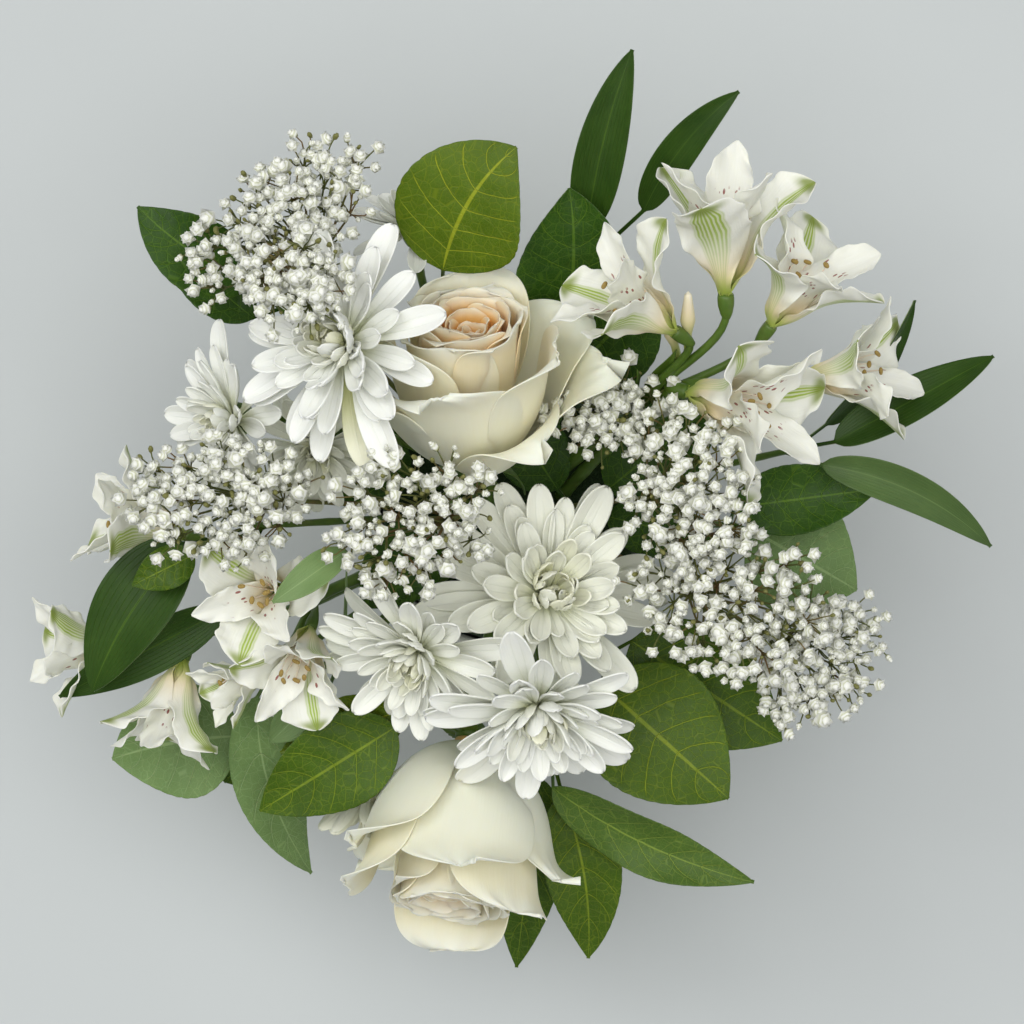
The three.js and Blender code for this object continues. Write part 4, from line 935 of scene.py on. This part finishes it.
# ------------------------------------------------------------------------------------------------
# Foliage: leafy stems of salal, broad, leathery, finely toothed and net-veined, and of long lance
# leaves with parallel veins. Each leaf is one thin blade on its stalk, dark and waxy above and paler
# below, quilted between its side veins.
SIDE_VEINS, VEIN_BEND = 6.5, 0.20
SALAL_GREENS = (0.011, 0.044, 0.002), (0.038, 0.105, 0.004)
LANCE_GREENS = (0.007, 0.028, 0.001), (0.024, 0.070, 0.004)
YOUNG_GREENS = (0.068, 0.122, 0.003), (0.118, 0.190, 0.006)
UNDER_GREENS = (0.125, 0.205, 0.075), (0.18, 0.27, 0.11)
PALE_GREENS, PALE_VEIN = ((0.16, 0.27, 0.085), (0.24, 0.36, 0.13)), (0.40, 0.53, 0.26)
VEIN_BRIGHTER = (4.4, 2.8, 5.0)


def leaf_colours(name, lines):
    """The finish of a leaf: long parallel veins, or side veins with a fine net between them."""
    made, tree, shader = finish_of(
        name, Specular_IOR_Level=0.24, Subsurface_Weight=0.05, Subsurface_Scale=0.001,
    )
    along, across, under = (attribute(tree, key) for key in ("along", "across", "under"))
    fresh, tone = attribute(tree, "kind"), attribute(tree, "tone")
    surface = surface_place(tree)
    off = maths(tree, "ABSOLUTE", across)
    rib = ramp(tree, off, 0.040, 0.018)
    place = solid_place(tree)
    mottle = noise(tree, place, 70.0, 4.0)
    if lines:
        wave = maths(tree, "ABSOLUTE", maths(tree, "SINE", times(tree, across, 13.0, 1.6)))
        side = times(tree, ramp(tree, wave, 0.22, 0.02), 0.5)
        net = noise(tree, surface, 400.0, 3.0, (3.5, 0.3, 1))
    else:
        bent = maths(tree, "SUBTRACT", along, times(tree, maths(tree, "POWER", off, 1.3), VEIN_BEND))
        bent = maths(tree, "ADD", bent, times(tree, noise(tree, surface, 45.0, 2.0), 0.035))
        wave = maths(tree, "ABSOLUTE", maths(tree, "SINE", times(tree, bent, SIDE_VEINS * math.pi)))
        side = times(tree, ramp(tree, wave, 0.10, 0.04), ramp(tree, off, 0.96, 0.80))
        edges = {"feature": "DISTANCE_TO_EDGE"}
        cells, small = (
            step(tree, "ShaderNodeTexVoronoi", {"Vector": surface, "Scale": scale}, **edges)
            for scale in (230.0, 700.0)
        )
        net = times(tree, ramp(tree, small, 0.08, 0.02), 0.5)
        net = maths(tree, "MAXIMUM", ramp(tree, cells, 0.055, 0.015), net)
    veins = times(tree, maths(tree, "MAXIMUM", rib, side), 0.75)
    upper = blend(tree, mottle, *(LANCE_GREENS if lines else SALAL_GREENS))
    upper = blend(tree, fresh, upper, blend(tree, mottle, *YOUNG_GREENS))
    skin = blend(tree, under, upper, blend(tree, mottle, *UNDER_GREENS))
    veined = blend(tree, 1.0, skin, VEIN_BRIGHTER, "MULTIPLY")
    net_share = times(tree, net, maths(tree, "SUBTRACT", 0.38, times(tree, fresh, 0.26)))
    skin = blend(tree, veins, blend(tree, net_share, skin, veined), veined)
    vein_share = maths(tree, "MAXIMUM", times(tree, net, 0.28), veins)
    turned_over = blend(tree, vein_share, blend(tree, mottle, *PALE_GREENS), PALE_VEIN)
    skin = blend(tree, times(tree, tone, 0.9), skin, turned_over)
    relief = maths(tree, "ADD", times(tree, net, -0.35), times(tree, side, -1.0))
    relief = maths(tree, "ADD", relief, times(tree, mottle, 0.4))
    wax = maths(tree, "ADD", ramp(tree, under, 0, 1, 0.36, 0.60), times(tree, mottle, 0.16))
    dress(tree, shader, skin, wax, relief, 0.0004, 0.8)
    return made


salal_finish, lance_finish = leaf_colours("salal_leaf", False), leaf_colours("lance_leaf", True)
SALAL = {"rise": 0.6, "fall": 0.92, "fold": 0.16, "stalk": 1 / 6, "wave": 0.8}
LANCE = {"rise": 0.5, "fall": 0.8, "fold": 0.3, "stalk": 1 / 5}


def leaf_grid(fork, base, tip, width, shape, broad, seed):
    """A leaf's points with its stalk: a straight stalk to the base, then a bow from base to tip."""
    chance = np.random.default_rng(seed)
    n, m = (84, 19) if broad else (56, 13)
    stalk, stalk_rows = shape["stalk"], 6
    on_stalk = np.linspace(0.0, stalk * 0.98, stalk_rows)
    s = np.concatenate([on_stalk, stalk + (1 - stalk) * rows(n - stalk_rows, 1.5)])
    q = columns(m)
    fork, base, tip = (np.asarray(p, float) for p in (fork, base, tip))
    up_way = np.array((0, 0, 1.0))
    sideways = np.cross(tip - base, up_way)
    sideways /= np.linalg.norm(sideways)
    middle = (base + tip) / 2 + up_way * shape.get("sag", 0) + sideways * shape.get("swing", 0)
    x = np.clip((s - stalk) / (1 - stalk), 0, 1)[:, None]
    at = base * (1 - x) ** 2 + 2 * middle * x * (1 - x) + tip * x * x
    tangent = 2 * (middle - base) * (1 - x) + 2 * (tip - middle) * x
    tangent /= np.linalg.norm(tangent, axis=1, keepdims=True)
    along = (base - fork) / np.linalg.norm(base - fork)
    share = np.clip(s / stalk, 0, 1)[:, None]
    low = share[:, 0] < 1
    tangent[low] = along * (1 - 0.6 * share[low] ** 2) + tangent[low] * 0.6 * share[low] ** 2
    tangent /= np.linalg.norm(tangent, axis=1, keepdims=True)
    at[low] = (fork * (1 - share) + base * share)[low]
    across = np.cross(tangent, up_way)
    across /= np.maximum(np.linalg.norm(across, axis=1, keepdims=True), 1e-6)
    roll = np.radians(shape.get("roll", 0) + shape.get("twist", 0) * x[:, 0])[:, None]
    across = across * np.cos(roll) + np.cross(tangent, across) * np.sin(roll)
    up = np.cross(across, tangent)
    x = x[:, 0]
    half = np.where(x > 0, width * outline(np.clip(x, 1e-4, 0.9985), shape["rise"], shape["fall"]), 0)
    length = np.linalg.norm(tip - base)
    if broad:
        half = half * (1 + 0.018 * np.abs(np.sin(x * length * 0.62)) ** 0.6 * (x > 0.03))
    half = np.maximum(half, 0.8)
    wide = (half / max(width, 1e-6))[:, None]
    down, over = x[:, None], q[None, :]
    lift = shape["fold"] * half[:, None] * np.abs(over) ** 1.6
    if broad:
        bent = down - VEIN_BEND * np.abs(over) ** 1.3
        lift = lift + 0.55 * np.abs(np.sin(SIDE_VEINS * math.pi * bent)) ** 0.7 * wide * (1 - over ** 4)
    edge_wave = 0.05 * width * np.sin(2 * math.pi * (1.3 * down + chance.random()) + np.sign(over))
    lift = lift + edge_wave * over ** 2 * wide
    if shape.get("wave"):
        lift = lift + 1.6 * shape["wave"] * np.sin(9 * down + 2 * np.sign(over)) * over ** 2 * wide
    spread = (half[:, None] * over)[:, :, None] * across[:, None]
    grid = at[:, None] + spread + lift[:, :, None] * up[:, None]
    carried = blade_values(x, q, half, length)
    carried |= {"tone": shape.get("pale", 0.0), "kind": shape.get("fresh", 0.0)}
    return shell(grid, 0.65, carried, 0 if broad else 1)


# Each stem: name, its top, its route, and its leaves as (base, tip, half-width, shape). The shape says
# how far a leaf sags, swings, rolls, twists, folds and waves, and how fresh or pale it is.
LEAFY_STEMS = [
    ("salal_1", (-30, 98, 176), 3, [
        ((-29, 102, 199), (2, 150, 228), 28, {**SALAL, "sag": 8, "roll": -6, "swing": -10, "fresh": 0.8})]),
    ("salal_2", (34, 70, 160), 0, [
        ((22, 76, 172), (24, 136, 202), 24, {**SALAL, "sag": 6, "fold": 0.35, "swing": 6}),
        ((58, 92, 168), (14, 48, 164), 23, {**SALAL, "sag": 5, "roll": 8})]),
    ("salal_3", (-112, -92, 140), 0, [
        ((-120, -99, 132.5), (-178, -110, 122), 25, {**SALAL, "sag": 7, "swing": 5, "pale": 0.8}),
        ((-104, -98, 136), (-128, -120, 124), 15, {**SALAL, "fresh": 0.2})]),
    ("salal_4", (-44, -92, 150), 14, [
        ((-50, -92, 175), (-109, -129, 164), 20, {**SALAL, "sag": 6, "roll": -8, "fresh": 0.35}),
        ((-50, -86, 172), (-100, -104, 164), 14, {**SALAL, "sag": -3, "fold": 0.3, "fresh": 0.9})]),
    ("salal_5", (-104, -68, 156), 0, [
        ((-110, -80, 162.5), (-90, -162, 112), 15,
         {**SALAL, "sag": 10, "roll": 40, "twist": -80, "swing": 12, "pale": 0.75})]),
    ("salal_6", (44, -64, 150), 0, [
        ((38, -74, 166), (93, -123, 172), 29, {**SALAL, "sag": 8, "roll": -6, "fresh": 0.45}),
        ((52, -56, 156), (118, -100, 148), 26, {**SALAL, "sag": 5, "roll": 6, "fresh": 0.3})]),
    ("salal_7", (18, -110, 138), 0, [
        ((18, -120, 152), (106, -162, 146), 13,
         {**SALAL, "roll": 34, "twist": -40, "swing": 10, "wave": 1.4, "fold": 0.3, "fresh": 0.3,
          "pale": 0.15}),
        ((22, -124, 142), (34, -199, 120), 17, {**SALAL, "sag": 6, "swing": -8, "fresh": 0.4}),
        ((12, -118, 126), (2, -206, 100), 15, {**SALAL, "sag": 4, "fresh": 0.25})]),
    ("salal_8", (-104, 92, 158), 0, [
        ((-112, 98, 180), (-158, 129, 194), 16, {**SALAL, "sag": 5, "swing": -6}),
        ((-112, 84, 160), (-152, 117, 168), 12, {**SALAL, "sag": 2})]),
    ("salal_9", (98, -6, 150), 0, [
        ((104, -8, 158), (150, -34, 154), 26, {**SALAL, "sag": 3, "roll": -6, "pale": 0.7}),
        ((96, 2, 170), (157, 10, 176), 15, {**SALAL, "fold": 0.3})]),
    ("salal_10", (30, -2, 132), 0, [
        ((42, 10, 141), (92, 50, 136), 19, {**SALAL, "sag": 12}),
        ((20, 10, 136.5), (-10, 56, 138), 16, {**SALAL, "sag": 8}),
        ((42, -2, 143.6), (92, -14, 144), 13, {**SALAL, "sag": 8})]),
    ("salal_11", (-30, 4, 130), 1, [
        ((-46, 14, 125), (-100, 36, 112), 21, {**SALAL, "sag": 12}),
        ((-34, -8, 136), (-66, -42, 140), 17, {**SALAL, "sag": 8})]),
    ("lance_1", (34, 112, 170), 0, [
        ((32, 120, 182), (50, 192, 216), 10.5, {**LANCE, "sag": 4, "swing": -5}),
        ((56, 128, 188), (94, 174, 220), 8, {**LANCE, "sag": 6, "swing": -8})]),
    ("lance_2", (126, 28, 166), 0, [
        ((138, 30, 179), (207, 67, 170), 10, {**LANCE, "sag": 12, "roll": -20}),
        ((136, 38, 160), (171, 90, 186), 7, {**LANCE, "sag": -6, "roll": 50, "swing": 10}),
        ((132, 20, 185), (208, -15, 156), 8.5, {**LANCE, "sag": 18, "roll": 10, "swing": -12, "pale": 0.3})]),
    ("lance_3", (-112, -6, 162), 0, [
        ((-138, -14, 186), (-180, -77, 172), 17, {**LANCE, "sag": 8, "roll": 12, "swing": 8}),
        ((-124, -42, 176), (-196, -80, 160), 11, {**LANCE, "sag": 8, "roll": -18}),
        ((-134, -18, 196), (-160, -31, 196), 9, {**SALAL, "sag": 4, "fresh": 0.3})]),
    ("lance_4", (-76, -66, 150), 0, [
        ((-78, -74, 172), (-104, -99, 170), 10, {**LANCE, "sag": 3, "pale": 0.6}),
        ((-68, -16, 226), (-98, -37, 234), 7, {**LANCE, "sag": 6, "roll": 30, "twist": -40, "pale": 0.9})]),
]
for number, (name, end, route, leaves) in enumerate(LEAFY_STEMS):
    top = np.array(end, float)
    axis = np.array((top[0], top[1], 120)) / np.linalg.norm((top[0], top[1], 120))
    line = stem_line(top, axis, route, 0.36)
    stem = add_stalks(name + "_cane", [(line, swollen(line, 1.7, 6), 0, axis)], 9)
    place_piece(stem, "green_stem", name)
    blades = []
    for k, (base, tip, width, shape) in enumerate(leaves):
        step = np.linalg.norm(line[-1] - line[-2])
        whole = np.linalg.norm(np.diff(line, axis=0), axis=1).sum()
        fork = line[-1] + (line[-2] - line[-1]) * min((0.05 + 0.2 * k) * whole / 5 / step, 8)
        blades.append(leaf_grid(fork, base, tip, width, shape, shape["rise"] == 0.6, 10 * number + k))
    foliage = new_piece(name + "_leaves", blades, [salal_finish, lance_finish])
    place_piece(foliage, "lance_leaf" if name.startswith("lance") else "salal_leaf")

# ------------------------------------------------------------------------------------------------
# Gypsophila: sprays of tiny white double florets on thin forking twigs. Side branches leave the stem,
# fork again, and end in florets of ruffled ten-sided tiers, with a few closed green buds among them.
FROTH_SHADE, FROTH_WHITE = (0.86, 0.87, 0.79), (0.92, 0.925, 0.87)
FROTH_HOLLOW_SHADE, FROTH_CUP = (0.52, 0.54, 0.32), (0.17, 0.17, 0.045)
TWIG_GREEN, TWIG_BROWN = (0.13, 0.15, 0.035), (0.20, 0.12, 0.04)
froth, tree, shader = finish_of(
    "froth_petal", Roughness=0.6, Specular_IOR_Level=0.3,
    Subsurface_Weight=0.15, Subsurface_Scale=0.001, Subsurface_Radius=(1, 1, 0.9),
)
along = attribute(tree, "along")
speck = noise(tree, solid_place(tree), 700.0, 2.0)
snow = blend(tree, speck, FROTH_SHADE, FROTH_WHITE)
# The hollows behind the ruffled lips are painted darker olive: painted shade between the tiers, and a little
# at the very middle the floret's own darker centre.
snow = blend(tree, ramp(tree, along, 0.95, 0.35, 0.0, 0.85), snow, FROTH_HOLLOW_SHADE)
snow = blend(tree, ramp(tree, along, 0.35, 0.05, 0.0, 0.97), snow, FROTH_CUP)
dress(tree, shader, snow, None, speck, 0.0002, 0.5)
twig_bark, tree, shader = finish_of("twig_bark", Roughness=0.6)
patch = noise(tree, solid_place(tree), 55.0, 4.0)
twig = blend(tree, ramp(tree, patch, 0.45, 0.68), TWIG_GREEN, TWIG_BROWN)
dress(tree, shader, twig, None, patch, 0.0002, 0.6)

frills = bpy.data.collections.new("frills")
FRILL_SIDES = 10
# A tier is (radius, height, where it is): 1 at a ruffled lip, -1 in the hollow behind it, 0 on the cup.
TIERS = [(1.1, -1.5, 0), (3.5, 0.1, 1), (2.2, 0.8, -1), (2.7, 1.7, 1), (1.3, 1.6, -1), (1.5, 2.5, 1)]
BUD_TIERS = [(0.9, -0.8, 0), (0.95, 0.4, 0), (0.6, 1.3, 0)]
for kind, open_share in enumerate((1.0, 0.9, 1.06, 0.8, 0.42, 0.0)):
    chance = np.random.default_rng(70 + kind)
    bud = open_share == 0
    tiers = BUD_TIERS if bud else [(r * open_share if lip else r, z, lip) for r, z, lip in TIERS]
    points, along = [(0.0, 0.0, -2.4)], [0.0]
    for ring, (r, z, lip) in enumerate(tiers):
        for k in range(FRILL_SIDES):
            a = 2 * math.pi * (k + ring // 2) / FRILL_SIDES + chance.uniform(-0.13, 0.13)
            notch = 0.26 * (lip == 1) * (k % 2)
            reach = r * (1 - notch) * chance.uniform(0.84, 1.14)
            ruffled = z - 0.9 * notch + abs(lip) * chance.uniform(-0.4, 0.4)
            points.append((reach * math.cos(a), reach * math.sin(a), ruffled))
            along.append({0: 0.0, 1: 1.0, -1: 0.45}[lip])
    points.append((0.0, 0.0, tiers[-1][1] + 0.1))
    along.append(0.8 * (not bud))
    floret = (np.array(points), round_faces(len(tiers), FRILL_SIDES), {"along": np.array(along)}, 0)
    set_aside(frills, new_piece(f"frill_{kind}", [floret], [froth]))

# Each spray: name, centre, half its length and breadth, the turn of its length, the height of its
# dome, how far its root lies below the centre and out from it, its route, and its number of tufts.
SPRAYS = [
    ("gypsophila_1", (-94, 121, 222), (48, 22), 36, 16, 34, -15.3, 0, 26),
    ("gypsophila_2", (-86, 91, 256), (23, 16), 0, 8, 30, 36, 0, 12),
    ("gypsophila_3", (-120, 6, 226), (40, 25), 4, 14, 34, -15.3, 0, 24),
    ("gypsophila_4", (-42, -4, 238), (36, 30), 20, 12, 36, -16.2, 0, 22),
    ("gypsophila_5", (42, 40, 204), (26, 17), 10, 10, 36, 12, 3, 12),
    ("gypsophila_6", (74, 8, 226), (36, 26), 100, 12, 36, -16.2, 0, 22),
    ("gypsophila_7", (92, -38, 214), (44, 32), -20, 12, 36, -16.2, 0, 26),
    ("gypsophila_8", (130, -62, 190), (32, 26), 60, 10, 34, -15.3, 0, 20),
]
FLORETS_A_TUFT = 9
for number, (name, centre, half, turn, dome, drop, lean, route, tufts) in enumerate(SPRAYS):
    chance = np.random.default_rng(300 + number)
    centre = np.array(centre, float)
    outward = np.array((centre[0], centre[1], 0)) / math.hypot(centre[0], centre[1])
    root = centre + outward * lean - np.array((0, 0, drop))
    rise = (centre - root) / np.linalg.norm(centre - root)
    line = stem_line(root, rise, route, 0.34)
    lines = [(line, np.linspace(1.35, 1.0, len(line)), 0, rise)]
    a = math.radians(turn)
    for k in range(tufts):
        share = math.sqrt((k + 0.5) / tufts) * 0.93
        x, y = half[0] * share * math.cos(k * GOLDEN_ANGLE), half[1] * share * math.sin(k * GOLDEN_ANGLE)
        lift = dome * (1 - share * share) + chance.uniform(-3, 3)
        middle = centre + (x * math.cos(a) - y * math.sin(a), x * math.sin(a) + y * math.cos(a), lift)
        leaving = line[-1 - int(chance.integers(0, 4))]
        way = (middle - leaving) / np.linalg.norm(middle - leaving)
        knot = middle - way * 9 - np.array((0, 0, 4))
        path = bezier((leaving, leaving + rise * 10 + chance.normal(0, 1.5, 3), knot - way * 10, knot), 9)
        lines.append((path, np.linspace(0.75, 0.42, len(path)), 0, way))
        for j in range(FLORETS_A_TUFT):
            spin = 2 * math.pi * j / FLORETS_A_TUFT + chance.uniform(-0.4, 0.4)
            spread = chance.uniform(3.5, 10.5) if j else 1.0
            height = chance.uniform(-5, 3.5)
            end = middle + np.array((math.cos(spin) * spread, math.sin(spin) * spread, height))
            look = (end - knot) / np.linalg.norm(end - knot) + np.array((0, 0, 0.7))
            look = look + chance.normal(0, 0.35, 3)
            path = bezier((knot, knot + way * 3, end - look * 4, end), 5)
            lines.append((path, np.linspace(0.42, 0.28, len(path)), chance.uniform(0.78, 1.25), look))
    spray = add_stalks(name + "_froth", lines, 5, twig_bark, frills, 1.0, number)
    place_piece(spray, "gypsophila", name)

for group in (florets, anthers, frills):
    for part in list(group.objects):
        bpy.data.objects.remove(part)
